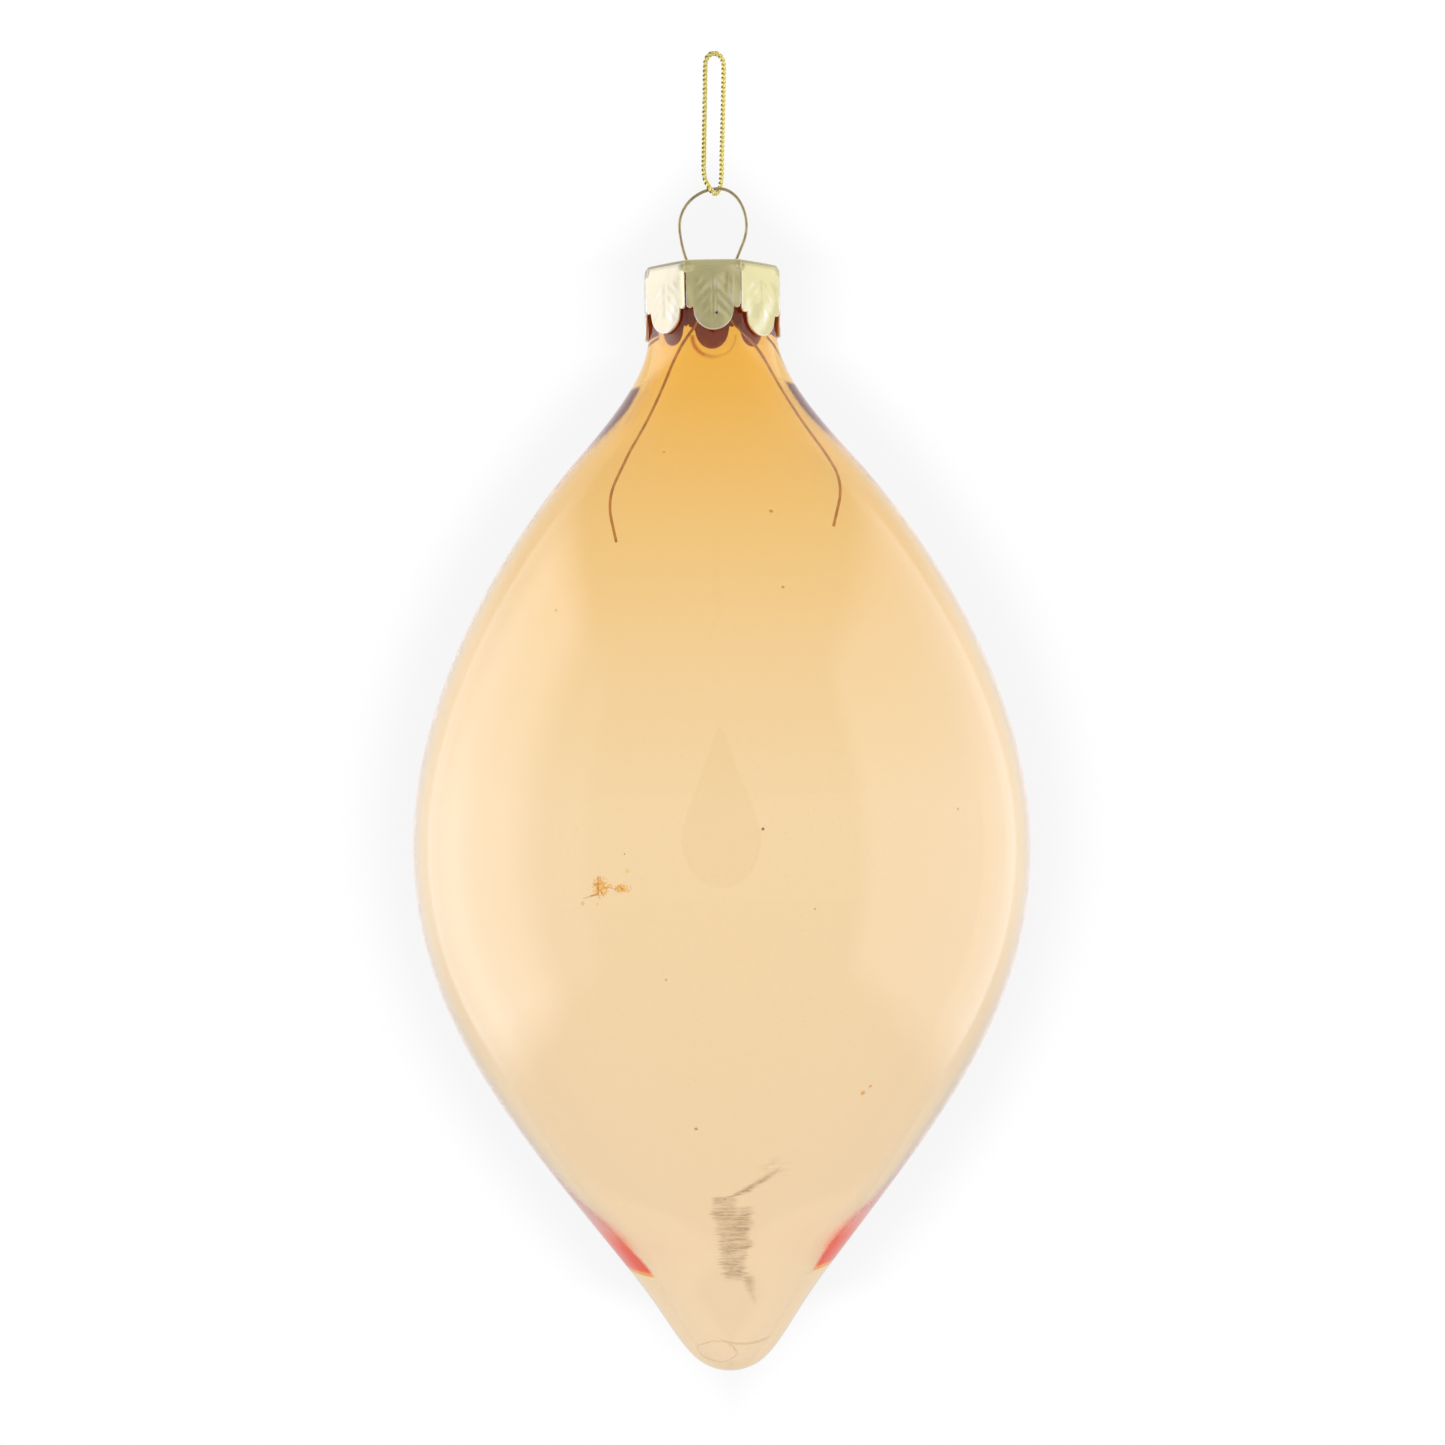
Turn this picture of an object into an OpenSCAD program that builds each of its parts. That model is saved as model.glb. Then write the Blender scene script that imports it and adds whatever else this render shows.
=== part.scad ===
// Glass teardrop ornament: a blown drop, a petalled metal cap, a sprung wire
// hanger and a cord loop. Millimetres, Z up. The origin is where the drop hangs:
// the underside of the top of the wire eye. The front looks along -Y.

/* [Glass drop] */
// Outside diameter of the neck
neck_d = 12.9; // [12:0.1:14]
// Straight length of the neck below its cut lip
neck_len = 6.2; // [5.6:0.1:7]
// Drop from the end of the neck to where the throat turns into the shoulder
throat_h = 12.6; // [11:0.1:14]
// Radius of the drop at that turn
turn_r = 14; // [12.5:0.1:15.5]
// Slant of the shoulder from upright, at that turn
shoulder_slant = 41.5; // [36:0.5:46]
// Drop from the end of the neck to the widest level
widest_h = 51; // [46:0.5:58]
// Diameter at the widest level
belly_d = 61.4; // [56:0.2:66]
// Drop from the widest level to the tip
lower_h = 52.4; // [48:0.2:58]
// Height above the tip where the lower cone is straightest
cone_h = 10.1; // [9:0.1:12]
// Radius of the drop at that height
cone_r = 9.8; // [9:0.1:10.6]
// Slant of the lower cone from upright, at that height
cone_slant = 37; // [33:0.5:41]
// Radius of the rounded tip
tip_r = 5.3; // [4.8:0.1:6]
// Thickness of the blown wall in the shoulder and the belly
wall = 0.3; // [0.25:0.05:0.6]
// Thickness of the wall in the neck
neck_wall = 0.8; // [0.7:0.05:0.95]
// Thickness of the wall at the tip
tip_wall = 0.75; // [0.6:0.05:1.2]
// Height above the tip where the wall starts to thicken
gather_h = 19; // [16:0.5:24]

/* [Cap] */
// Thickness of the pressed metal
cap_t = 0.22; // [0.18:0.01:0.3]
// Play between the cap's skirt and the neck
cap_fit = 0.08; // [0.05:0.01:0.15]
// Height of the cap, from its top to the lowest point of a petal
cap_h = 6.95; // [6.4:0.05:7.4]
// Width of the bevels round the cap's top edge
cap_edge_r = 0.7; // [0.5:0.05:0.9]
// Number of petals round the skirt
petals = 8; // [7:1:9]
// Turn of the petals about the axis
cap_turn = 1; // [-20:1:20]
// Width of the slit at the corner between two petals
slit_w = 0.12; // [0.08:0.01:0.2]
// Drop from the cap's top to the upper end of a slit
slit_drop = 1.2; // [1:0.1:1.8]
// Radius of the large round end of a petal
lobe_r = 1.95; // [1.8:0.05:2.1]
// Radius of the small scallop on each side of a petal
scallop_r = 0.35; // [0.25:0.01:0.4]
// Height of the scallops above the end of the petal
scallop_h = 2.5; // [2.3:0.05:2.7]
// Radius of the tool that dents each corner above its slit
dimple_r = 0.6; // [0.5:0.05:0.8]
// Depth of a dent
dimple_in = 0.17; // [0.1:0.01:0.2]
// Drop from the cap's top to the middle of a dent
dimple_drop = 0.75; // [0.7:0.05:0.9]

/* [Wire hanger] */
// Diameter of the wire
wire_d = 0.3; // [0.25:0.01:0.4]
// Height of the eye, from the cap to the underside of its top
eye_h = 8; // [7:0.1:9]
// Width of the eye, between wire centres
eye_w = 6.7; // [6:0.1:7.4]
// Drop from the origin to the widest level of the eye
eye_mid = 3.6; // [3.2:0.05:4]
// Sideways offset of the eye's middle from the axis
eye_shift = 0.2; // [-0.3:0.05:0.3]
// Sideways offset of the eye's top from its middle
eye_lean = 0.65; // [0:0.05:0.8]
// Distance between the two wire holes in the cap
hole_gap = 4.1; // [3.8:0.1:4.4]
// Diameter of a wire hole
hole_d = 0.8; // [0.7:0.05:0.9]
// Slant of the wire from upright where it goes through the cap
hole_slant = 23; // [18:1:26]
// Drop from the cap's top to where a leg starts to splay
splay_drop = 4.9; // [4.5:0.1:5.3]
// Drop from the cap's top to the bend in the throat
throat_drop = 7.9; // [7.5:0.1:8.4]
// Distance from the wire to the glass at that bend
throat_gap = 1.3; // [1.2:0.05:1.6]
// Drop from the cap's top to the knee of a leg
knee_drop = 21.4; // [20:0.2:23]
// Distance from the wire to the glass at the knee
knee_gap = 2.7; // [2.3:0.1:3.3]
// Length of the foot below the knee
foot_len = 4.6; // [3.6:0.1:6]
// Slant of the foot, back towards the axis
foot_slant = 14; // [8:1:20]
// Turn of the left leg about the axis, towards the back
leg_twist = 33; // [20:1:40]
// Extra drop of the left leg's knee
left_drop = 0.7; // [0:0.1:1.2]

/* [Cord loop] */
// Diameter of the cord
cord_d = 0.55; // [0.5:0.01:0.6]

/* [Hidden] */
$fn = 96;

// Levels, all measured from the origin
cap_top_z = -eye_h;
lip_z = cap_top_z - cap_t - cap_fit;
neck_end_z = lip_z - neck_len;
turn_z = neck_end_z - throat_h;
widest_z = neck_end_z - widest_h;
tip_z = widest_z - lower_h;
cone_z = tip_z + cone_h;
petal_end_z = cap_top_z - cap_h;
scallop_z = petal_end_z + scallop_h;

neck_r = neck_d / 2;
// Distance from the axis to the flat outside of a petal
cap_r = neck_r + cap_fit + cap_t;
petal_w = 2 * cap_r * tan(180 / petals);
// A corner between two petals is farther out than their flats
corner_share = cos(180 / petals);
corner_r = cap_r / corner_share;
wire_r = wire_d / 2;

// Rounding of the neck's lip, which keeps clear of the cap's bevelled edge
lip_round = cap_edge_r - cap_t - cap_fit;

// How far a cutting shape runs past what it cuts
over = 1;

// Where the round tip's arc begins, as an angle from the axis
tip_arc = 47;
// Lengths of a curve's two handles, as shares of the distance that it spans
throat_pull = [0.27, 0.36];
shoulder_pull = [0.26, 0.36];
belly_pull = [0.36, 0.38];
cone_pull = [0.54, 0.26];
// Share that makes a curve between two tangents nearly a round arc
round_share = 0.55;

// Directions in a vertical plane, as angles from straight down
function down(angle) = [sin(angle), -cos(angle)];
function unit(v) = v / norm(v);

function bezier(a, b, c, d, t) =
    pow(1 - t, 3) * a + 3 * t * pow(1 - t, 2) * b
    + 3 * t * t * (1 - t) * c + pow(t, 3) * d;

// Points of a curve from a to d, without its end, that leaves and arrives
// in the directions from and to
function span(a, from, d, to, pull, steps) =
    let (reach = norm(d - a))
    [for (i = [0:steps - 1])
        bezier(a, a + from * reach * pull[0], d - to * reach * pull[1], d, i / steps)];

// Points of a round corner from a to b, without its end, whose tangents meet at c
function corner(a, c, b, steps) =
    [for (i = [0:steps - 1])
        bezier(a, a + (c - a) * round_share, b + (c - b) * round_share, b, i / steps)];

// Outside of the drop, from the end of the neck down to the tip
outside = concat(
    span([neck_r, neck_end_z], down(0), [turn_r, turn_z], down(shoulder_slant),
        throat_pull, 8),
    span([turn_r, turn_z], down(shoulder_slant), [belly_d / 2, widest_z], down(0),
        shoulder_pull, 12),
    span([belly_d / 2, widest_z], down(0), [cone_r, cone_z], down(-cone_slant),
        belly_pull, 12),
    span([cone_r, cone_z], down(-cone_slant),
        [tip_r * sin(tip_arc), tip_z + tip_r * (1 - cos(tip_arc))],
        down(tip_arc - 90), cone_pull, 5),
    [for (i = [0:6])
        let (turn = tip_arc * (1 - i / 6))
        [tip_r * sin(turn), tip_z + tip_r * (1 - cos(turn))]]
);

// Goes smoothly from 0 at or below 0 to 1 at or above 1
function eased(share) =
    let (t = max(0, min(1, share)))
    t * t * (3 - 2 * t);

// Thickness at a level: thin where the glass is blown, thick in the neck and the tip
function thickness(z) =
    wall + (neck_wall - wall) * eased((z - turn_z) / throat_h)
    + (tip_wall - wall) * eased((tip_z + gather_h - z) / (gather_h - cone_h));

// Inside of the drop, a wall's thickness in from each point of the outside
inside = [for (i = [0:len(outside) - 1])
    let (along = unit(outside[min(i + 1, len(outside) - 1)] - outside[max(i - 1, 0)]),
        inward = [along[1], -along[0]])
    i == len(outside) - 1 ? [0, tip_z + tip_wall]
    : i == 0 ? [neck_r - neck_wall, neck_end_z]
    : outside[i] + inward * thickness(outside[i][1])];

// Radius of the space inside the glass at a level
bore_by_level = [for (p = inside) [p[1], p[0]]];
function bore_at(z) = lookup(z, bore_by_level);

// Distance from the axis to a wire hole
hole_x = hole_gap / 2;
// Depth below the cap's top to which the wire keeps the slant of its hole
hole_in = 1.1;

// Route of the wire, in the plane of the eye and then down each leg
left_mid = [eye_shift - eye_w / 2, -eye_mid];
right_mid = [eye_shift + eye_w / 2, -eye_mid];
eye_top = [eye_shift + eye_lean, wire_r];
// Where the slanting wire from a hole meets the upright side of the eye
function side_corner(mid_x) =
    [mid_x, cap_top_z + (abs(mid_x) - hole_x) / tan(hole_slant)];

// Where a side of the eye ends its bend: as far past its corner as the bend starts before it
function bend_end(mid) =
    let (meeting = side_corner(mid[0]),
        hole = [sign(mid[0]) * hole_x, cap_top_z])
    meeting + unit(hole - meeting) * norm(mid - meeting);

eye = concat(
    [[-hole_x, cap_top_z]],
    corner(bend_end(left_mid), side_corner(left_mid[0]), left_mid, 5),
    corner(left_mid, [left_mid[0], eye_top[1]], eye_top, 9),
    corner(eye_top, [right_mid[0], eye_top[1]], right_mid, 8),
    corner(right_mid, side_corner(right_mid[0]), bend_end(right_mid), 5),
    [bend_end(right_mid)]
);

// Corners of a leg, as distance from the axis and level, from just inside its hole
splay_z = cap_top_z - splay_drop;
throat_z = cap_top_z - throat_drop;
function leg(lower) =
    let (knee_z = cap_top_z - knee_drop - lower,
        knee = [bore_at(knee_z) - knee_gap, knee_z])
    [[hole_x - hole_in * tan(hole_slant), cap_top_z - hole_in],
     [hole_x - hole_in * tan(hole_slant), splay_z],
     [bore_at(throat_z) - throat_gap, throat_z],
     knee,
     knee + down(-foot_slant) * foot_len];

// How far each bend reaches along the wire on both sides of its corner
bend_reach = [0.5, 1.2, 1.6, 2.2];

// A path whose corners are rounded; its first point is left out
function rounded(path, reach) =
    [for (i = [1:len(path) - 1])
        if (i == len(path) - 1) path[i]
        else
            let (back = path[i] + unit(path[i - 1] - path[i]) * reach[i - 1],
                ahead = path[i] + unit(path[i + 1] - path[i]) * reach[i - 1])
            each [for (t = [0:0.25:1])
                pow(1 - t, 2) * back + 2 * t * (1 - t) * path[i] + t * t * ahead]];

function upright(p) = [p[0], 0, p[1]];
function about_axis(p, angle) = [p[0] * cos(angle), p[0] * sin(angle), p[1]];
function reversed(list) = [for (i = [len(list) - 1:-1:0]) list[i]];

right_leg = rounded(
    concat([[hole_x, 0, cap_top_z]], [for (p = leg(0)) about_axis(p, 0)]), bend_reach);
left_corners = leg(left_drop);
left_leg = rounded(
    concat([[-hole_x, 0, cap_top_z], [-left_corners[0][0], 0, left_corners[0][1]]],
        [for (i = [1:4]) about_axis(left_corners[i], 180 - leg_twist)]), bend_reach);
wire_route = concat(reversed(left_leg), [for (p = eye) upright(p)],
    [[hole_x, 0, cap_top_z]], right_leg);

// Route of the cord: from under the eye's top up in front on the left, over at the
// top, and down behind on the right
cord_route = [
    [0.45, 0, -0.34], [0.2, -0.32, -0.22], [-0.02, -0.44, 0.06], [-0.22, -0.44, 0.4],
    [-0.4, -0.4, 0.8], [-0.54, -0.34, 1.3], [-0.6, -0.25, 2], [-0.58, -0.15, 3],
    [-0.53, -0.05, 4.5], [-0.47, 0, 6.5], [-0.4, 0, 8.5], [-0.34, 0, 10.5],
    [-0.29, 0, 12], [-0.25, 0, 12.8], [-0.02, 0, 13.35], [0.35, 0, 13.64],
    [0.75, 0, 13.68], [1.15, 0, 13.47], [1.45, 0, 13.05], [1.57, 0, 12.4],
    [1.55, 0, 11.4], [1.48, 0, 9.5], [1.4, 0, 7.5], [1.32, 0, 5.5], [1.25, 0.05, 4],
    [1.2, 0.15, 2.8], [1.18, 0.28, 1.8], [1.12, 0.37, 1.1], [1.05, 0.43, 0.6],
    [0.92, 0.44, 0.16], [0.7, 0.3, -0.2]
];

// Points along a closed route, with one more between each two
function smoothed(route) =
    let (n = len(route))
    [for (i = [0:n - 1])
        let (a = route[(i + n - 1) % n], b = route[i],
            c = route[(i + 1) % n], d = route[(i + 2) % n])
        each [b, (-a + 9 * b + 9 * c - d) / 16]];

// A round bar swept along a route. Its section is set out from the axis "aside",
// which no stretch of the route runs along
module bar(route, d, sides, aside, closed) {
    n = len(route);
    rings = [for (i = [0:n - 1])
        let (ahead = closed ? route[(i + 1) % n] : route[min(i + 1, n - 1)],
            back = closed ? route[(i + n - 1) % n] : route[max(i - 1, 0)],
            along = unit(ahead - back),
            across = unit(cross(along, aside)),
            up = cross(across, along))
        [for (j = [0:sides - 1])
            route[i] + d / 2 * (across * cos(360 * j / sides) + up * sin(360 * j / sides))]];
    walls = [for (i = [0:(closed ? n - 1 : n - 2)], j = [0:sides - 1])
        let (next = (i + 1) % n, beside = (j + 1) % sides)
        each [[i * sides + j, i * sides + beside, next * sides + beside],
            [i * sides + j, next * sides + beside, next * sides + j]]];
    ends = closed ? [] : [
        for (j = [1:sides - 2]) each [
            [0, j + 1, j],
            [(n - 1) * sides, (n - 1) * sides + j, (n - 1) * sides + j + 1]]];
    polyhedron([for (ring = rings) each ring], concat(walls, ends));
}

module glass_bulb() {
    lip = [for (turn = [0:22.5:90])
        [neck_r - lip_round * (1 - sin(turn)), lip_z - lip_round * (1 - cos(turn))]];
    color([0.95, 0.72, 0.36, 0.5])
        rotate_extrude()
            polygon(concat(lip, outside, reversed(inside), [[neck_r - neck_wall, lip_z]]));
}

// A many-sided block, one side to each petal, with its top edge bevelled twice.
// Its corners stand at the slits
module block(flat_r, top_z, edge, bottom_z) {
    small = edge * (1 - cos(45));
    levels = [[bottom_z, 0], [top_z - edge, 0], [top_z - small, small], [top_z, edge]];
    rotate(cap_turn - 90 + 180 / petals)
        for (i = [0:2])
            translate([0, 0, levels[i][0]])
                cylinder(h = levels[i + 1][0] - levels[i][0],
                    r1 = (flat_r - levels[i][1]) / corner_share,
                    r2 = (flat_r - levels[i + 1][1]) / corner_share, $fn = petals);
}

// What is cut away below a petal's scallops and its round end, seen from outside
module petal_surround() {
    difference() {
        translate([-(petal_w + slit_w) / 2, petal_end_z - over])
            square([petal_w + slit_w, scallop_z - petal_end_z + over]);
        for (side = [-1, 1])
            translate([side * (petal_w / 2 - slit_w - scallop_r), scallop_z])
                circle(scallop_r);
        translate([0, petal_end_z + lobe_r])
            circle(lobe_r);
    }
}

// What is cut away at the corner beside a petal: the slit and the dent above it
module corner_cuts() {
    translate([-slit_w / 2, -corner_r - over, scallop_z - scallop_r])
        cube([slit_w, 2 * over, cap_h - scallop_h - slit_drop + scallop_r]);
    translate([0, dimple_in - dimple_r - corner_r, cap_top_z - dimple_drop])
        sphere(dimple_r);
}

module cap() {
    color([0.78, 0.74, 0.55])
        difference() {
            block(cap_r, cap_top_z, cap_edge_r, petal_end_z - over / 2);
            block(cap_r - cap_t, cap_top_z - cap_t, cap_edge_r - cap_t, petal_end_z - over);
            for (i = [0:petals - 1])
                rotate(cap_turn + i * 360 / petals) {
                    translate([0, over - cap_r, 0])
                        rotate([90, 0, 0])
                            linear_extrude(height = 2 * over)
                                petal_surround();
                    rotate(180 / petals) corner_cuts();
                }
            for (side = [-1, 1])
                translate([side * hole_x, 0, cap_top_z - over])
                    cylinder(h = 2 * over, d = hole_d);
        }
}

module hanger() {
    color([0.62, 0.54, 0.36])
        bar(wire_route, wire_d, 10, [0, 1, 0], false);
}

module hanging_cord() {
    color([0.83, 0.72, 0.25])
        bar(smoothed(cord_route), cord_d, 8, [1, -1, 0], true);
}

glass_bulb();
cap();
hanger();
hanging_cord();
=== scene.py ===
import math

import bmesh
import bpy
from bpy.props import (
    FloatProperty,
    FloatVectorProperty,
    IntProperty,
    PointerProperty,
)
from mathutils import Matrix, Vector, noise


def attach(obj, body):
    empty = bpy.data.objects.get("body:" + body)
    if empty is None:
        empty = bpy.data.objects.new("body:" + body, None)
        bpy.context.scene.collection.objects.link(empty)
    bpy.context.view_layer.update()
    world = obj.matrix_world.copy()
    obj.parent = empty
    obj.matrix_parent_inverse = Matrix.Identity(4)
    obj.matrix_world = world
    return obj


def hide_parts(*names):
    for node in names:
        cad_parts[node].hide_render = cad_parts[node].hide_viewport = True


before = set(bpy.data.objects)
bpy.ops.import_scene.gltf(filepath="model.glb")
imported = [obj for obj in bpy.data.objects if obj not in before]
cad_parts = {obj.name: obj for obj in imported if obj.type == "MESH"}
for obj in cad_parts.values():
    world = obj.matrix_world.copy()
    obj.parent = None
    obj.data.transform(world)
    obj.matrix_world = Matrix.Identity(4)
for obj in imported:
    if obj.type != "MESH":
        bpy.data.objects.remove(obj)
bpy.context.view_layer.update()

bl_info = {
    "name": "Glass Teardrop Ornament",
    "version": (1, 0, 0),
    "blender": (4, 5, 0),
    "location": "3D View > Sidebar > Ornament",
    "description": "A blown-glass teardrop with its petalled cap, wire hanger and cord",
    "category": "Object",
}

MM = 0.001
ROUND_SHARE = 0.55


# Shader values


class Reading:
    """A shader socket. Sums and products of it become Math nodes."""

    def __init__(self, finish, socket):
        self.finish = finish
        self.socket = socket

    def _maths(self, operation, first, second=0.0):
        return self.finish.node("Math", {"operation": operation}, {0: first, 1: second})

    def __add__(self, other):
        return self._maths("ADD", self, other)

    __radd__ = __add__

    def __sub__(self, other):
        return self._maths("SUBTRACT", self, other)

    def __rsub__(self, other):
        return self._maths("SUBTRACT", other, self)

    def __mul__(self, other):
        return self._maths("MULTIPLY", self, other)

    __rmul__ = __mul__

    def __truediv__(self, other):
        return self._maths("DIVIDE", self, other)

    def __rtruediv__(self, other):
        return self._maths("DIVIDE", other, self)

    def __pow__(self, other):
        return self._maths("POWER", self, other)

    def __lt__(self, other):
        return self._maths("LESS_THAN", self, other)

    def __gt__(self, other):
        return self._maths("GREATER_THAN", self, other)

    def __abs__(self):
        return self._maths("ABSOLUTE", self)


class Finish:
    """A material, and the nodes that make it."""

    def __init__(self, name, tree=None):
        self.material = None
        if tree is None:
            self.material = bpy.data.materials.new(name)
            self.material.use_nodes = True
            tree = self.material.node_tree
        tree.nodes.clear()
        self.tree = tree
        self._place = None

    def node(self, kind, settings=None, sockets=None, output=0):
        """Adds a node: its type, its settings, then the values or links of its sockets."""
        made = self.tree.nodes.new("ShaderNode" + kind)
        for name, value in (settings or {}).items():
            if name == "stops":
                ramp = made.color_ramp
                while len(ramp.elements) > 1:
                    ramp.elements.remove(ramp.elements[-1])
                for index, (position, colour) in enumerate(value):
                    element = ramp.elements[0] if index == 0 else ramp.elements.new(position)
                    element.position = position
                    element.color = (*colour, 1.0)
            else:
                setattr(made, name, value)
        for name, value in (sockets or {}).items():
            if isinstance(value, Reading):
                self.tree.links.new(value.socket, made.inputs[name])
            else:
                made.inputs[name].default_value = value
        return Reading(self, made.outputs[output]) if made.outputs else None

    def place(self):
        """The three coordinates of a point, in metres in the ornament's own frame."""
        if self._place is None:
            point = self.node("TexCoord", output="Object")
            parts = self.node("SeparateXYZ", None, {0: point}).socket.node
            self._place = (point, [Reading(self, socket) for socket in parts.outputs])
        return self._place

    def step(self, value, low, high):
        """Goes smoothly from 0 at low to 1 at high."""
        return self.node(
            "MapRange",
            {"interpolation_type": "SMOOTHSTEP"},
            {"Value": value, "From Min": low, "From Max": high},
        )

    def between(self, value, low, low_full, high_full, high):
        """1 from low_full to high_full, going smoothly to 0 at low and at high."""
        return self.step(value, low, low_full) * (1 - self.step(value, high_full, high))

    def blend(self, share, first, second, how="MIX"):
        """Mixes two colours."""
        first, second = (
            tone if isinstance(tone, Reading) else (*tone, 1.0) for tone in (first, second)
        )
        settings = {"data_type": "RGBA", "blend_type": how}
        return self.node("Mix", settings, {0: share, 6: first, 7: second}, 2)

    def noise(self, point, scale, detail=2.0, roughness=0.5):
        return self.node(
            "TexNoise",
            None,
            {"Vector": point, "Scale": scale, "Detail": detail, "Roughness": roughness},
        )

    def stretched(self, point, scale, shift=(0.0, 0.0, 0.0)):
        """The same point in a frame that is scaled and moved."""
        return self.node("Mapping", None, {"Vector": point, "Scale": scale, "Location": shift})

    def most(self, first, second):
        return self.node("Math", {"operation": "MAXIMUM"}, {0: first, 1: second})

    def least(self, first, second):
        return self.node("Math", {"operation": "MINIMUM"}, {0: first, 1: second})

    def spot(self, centre, radius, edge=0.35, squash=(1, 1, 1)):
        """1 within a radius of a point, falling to 0 over its edge; all in mm."""
        moved = self.node(
            "VectorMath",
            {"operation": "SUBTRACT"},
            {0: self.place()[0], 1: [value * MM for value in centre]},
        )
        moved = self.node("VectorMath", {"operation": "MULTIPLY"}, {0: moved, 1: squash})
        away = self.node("VectorMath", {"operation": "LENGTH"}, {0: moved}, "Value")
        return 1 - self.step(away, radius * MM * (1 - edge), radius * MM)

    def bump(self, height, strength, depth):
        """A bump of a depth in mm."""
        return self.node(
            "Bump", None, {"Strength": strength, "Distance": depth * MM, "Height": height}
        )

    def principled(self, **sockets):
        named = {name.replace("_", " "): value for name, value in sockets.items()}
        return self.node("BsdfPrincipled", None, named)

    def glow(self, strength, tone=(1, 1, 1)):
        return self.node("Emission", None, {"Color": (*tone, 1), "Strength": strength})

    def clear(self, tone=(1, 1, 1)):
        return self.node("BsdfTransparent", None, {"Color": (*tone, 1)})

    def mixed(self, share, first, second):
        """Mixes two shaders."""
        return self.node("MixShader", None, {0: share, 1: first, 2: second})

    def surface(self, shader, output="OutputMaterial"):
        """Sends the finished shader out."""
        self.node(output, None, {"Surface": shader})
        return self.material


# Forms


def down(angle):
    """The direction in a vertical plane at an angle from straight down."""
    return Vector((math.sin(angle), -math.cos(angle)))


def bezier(a, b, c, d, t):
    """A point of the curve from a to d that is drawn towards b and c."""
    s = 1 - t
    return a * (s * s * s) + b * (3 * t * s * s) + c * (3 * t * t * s) + d * (t * t * t)


def span(start, leaving, end, arriving, pull, steps):
    """Points of a curve without its end, with the directions in which it leaves and arrives."""
    reach = (end - start).length
    first = start + leaving * reach * pull[0]
    last = end - arriving * reach * pull[1]
    return [bezier(start, first, last, end, i / steps) for i in range(steps)]


def corner(start, meeting, end, steps):
    """Points of a rounded corner without its end."""
    first = start + (meeting - start) * ROUND_SHARE
    last = end + (meeting - end) * ROUND_SHARE
    return [bezier(start, first, last, end, i / steps) for i in range(steps)]


def held(share):
    """A share, held between 0 and 1."""
    return max(0.0, min(1.0, share))


def eased(share):
    """Goes smoothly from 0 at or below 0 to 1 at or above 1."""
    t = held(share)
    return t * t * (3 - 2 * t)


def levels(sizes):
    """The heights of the drop's features, all from the origin."""
    wire, cap, drop = sizes.wire, sizes.cap, sizes.drop
    found = {"cap_top": -wire.eye_height}
    found["lip"] = found["cap_top"] - cap.thickness - cap.play
    found["neck_end"] = found["lip"] - drop.neck_length
    found["turn"] = found["neck_end"] - drop.throat_height
    found["widest"] = found["neck_end"] - drop.widest_height
    found["tip"] = found["widest"] - drop.lower_height
    found["cone"] = found["tip"] + drop.cone_height
    return found


def drop_walls(sizes):
    """The outside and the inside of the glass, from lip to tip, as (radius, height)."""
    drop, at = sizes.drop, levels(sizes)
    neck = drop.neck_diameter / 2
    lip_round = sizes.cap.edge - sizes.cap.thickness - sizes.cap.play
    arc = math.radians(47)
    neck_end = Vector((neck, at["neck_end"]))
    turn = Vector((drop.turn_radius, at["turn"]))
    widest = Vector((drop.belly_diameter / 2, at["widest"]))
    cone = Vector((drop.cone_radius, at["cone"]))
    tip_middle = Vector((0.0, at["tip"] + drop.tip_radius))
    rounded = [tip_middle + down(arc * (1 - i / 14)) * drop.tip_radius for i in range(15)]
    shoulder = down(drop.shoulder_slant)
    lower = down(-drop.cone_slant)
    lip_middle = Vector((neck - lip_round, at["lip"] - lip_round))
    outside = [
        lip_middle + Vector((math.sin(a), math.cos(a))) * lip_round
        for a in [math.radians(15 * i) for i in range(7)]
    ]
    low = outside[-1]
    outside += [low.lerp(neck_end, i / 14) for i in range(1, 14)]
    outside += span(neck_end, down(0), turn, shoulder, (0.27, 0.36), 28)
    outside += span(turn, shoulder, widest, down(0), (0.26, 0.36), 32)
    outside += span(widest, down(0), cone, lower, (0.36, 0.38), 34)
    outside += span(cone, lower, rounded[0], down(arc - math.pi / 2), (0.54, 0.26), 12)
    outside += rounded

    def thickness(height):
        neck_share = eased((height - at["turn"]) / drop.throat_height)
        tip_share = eased(
            (at["tip"] + drop.gather_height - height) / (drop.gather_height - drop.cone_height)
        )
        more = (drop.neck_wall - drop.wall) * neck_share
        return drop.wall + more + (drop.tip_wall - drop.wall) * tip_share

    inside = []
    for i, point in enumerate(outside):
        if point.y > at["neck_end"]:
            inside.append(Vector((neck - drop.neck_wall, point.y)))
            continue
        along = outside[min(i + 1, len(outside) - 1)] - outside[i - 1]
        along.normalize()
        inward = Vector((along.y, -along.x))
        inside.append(point + inward * thickness(point.y))
    inside[-1] = Vector((0.0, at["tip"] + drop.tip_wall))
    return outside, inside


def bore_at(walls, height):
    """The radius of the space inside the glass at a height."""
    inside = walls[1]
    for upper, lower in zip(inside, inside[1:]):
        if upper.y >= height >= lower.y and upper.y > lower.y:
            share = (upper.y - height) / (upper.y - lower.y)
            return upper.x + (lower.x - upper.x) * share
    return 0.0


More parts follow.
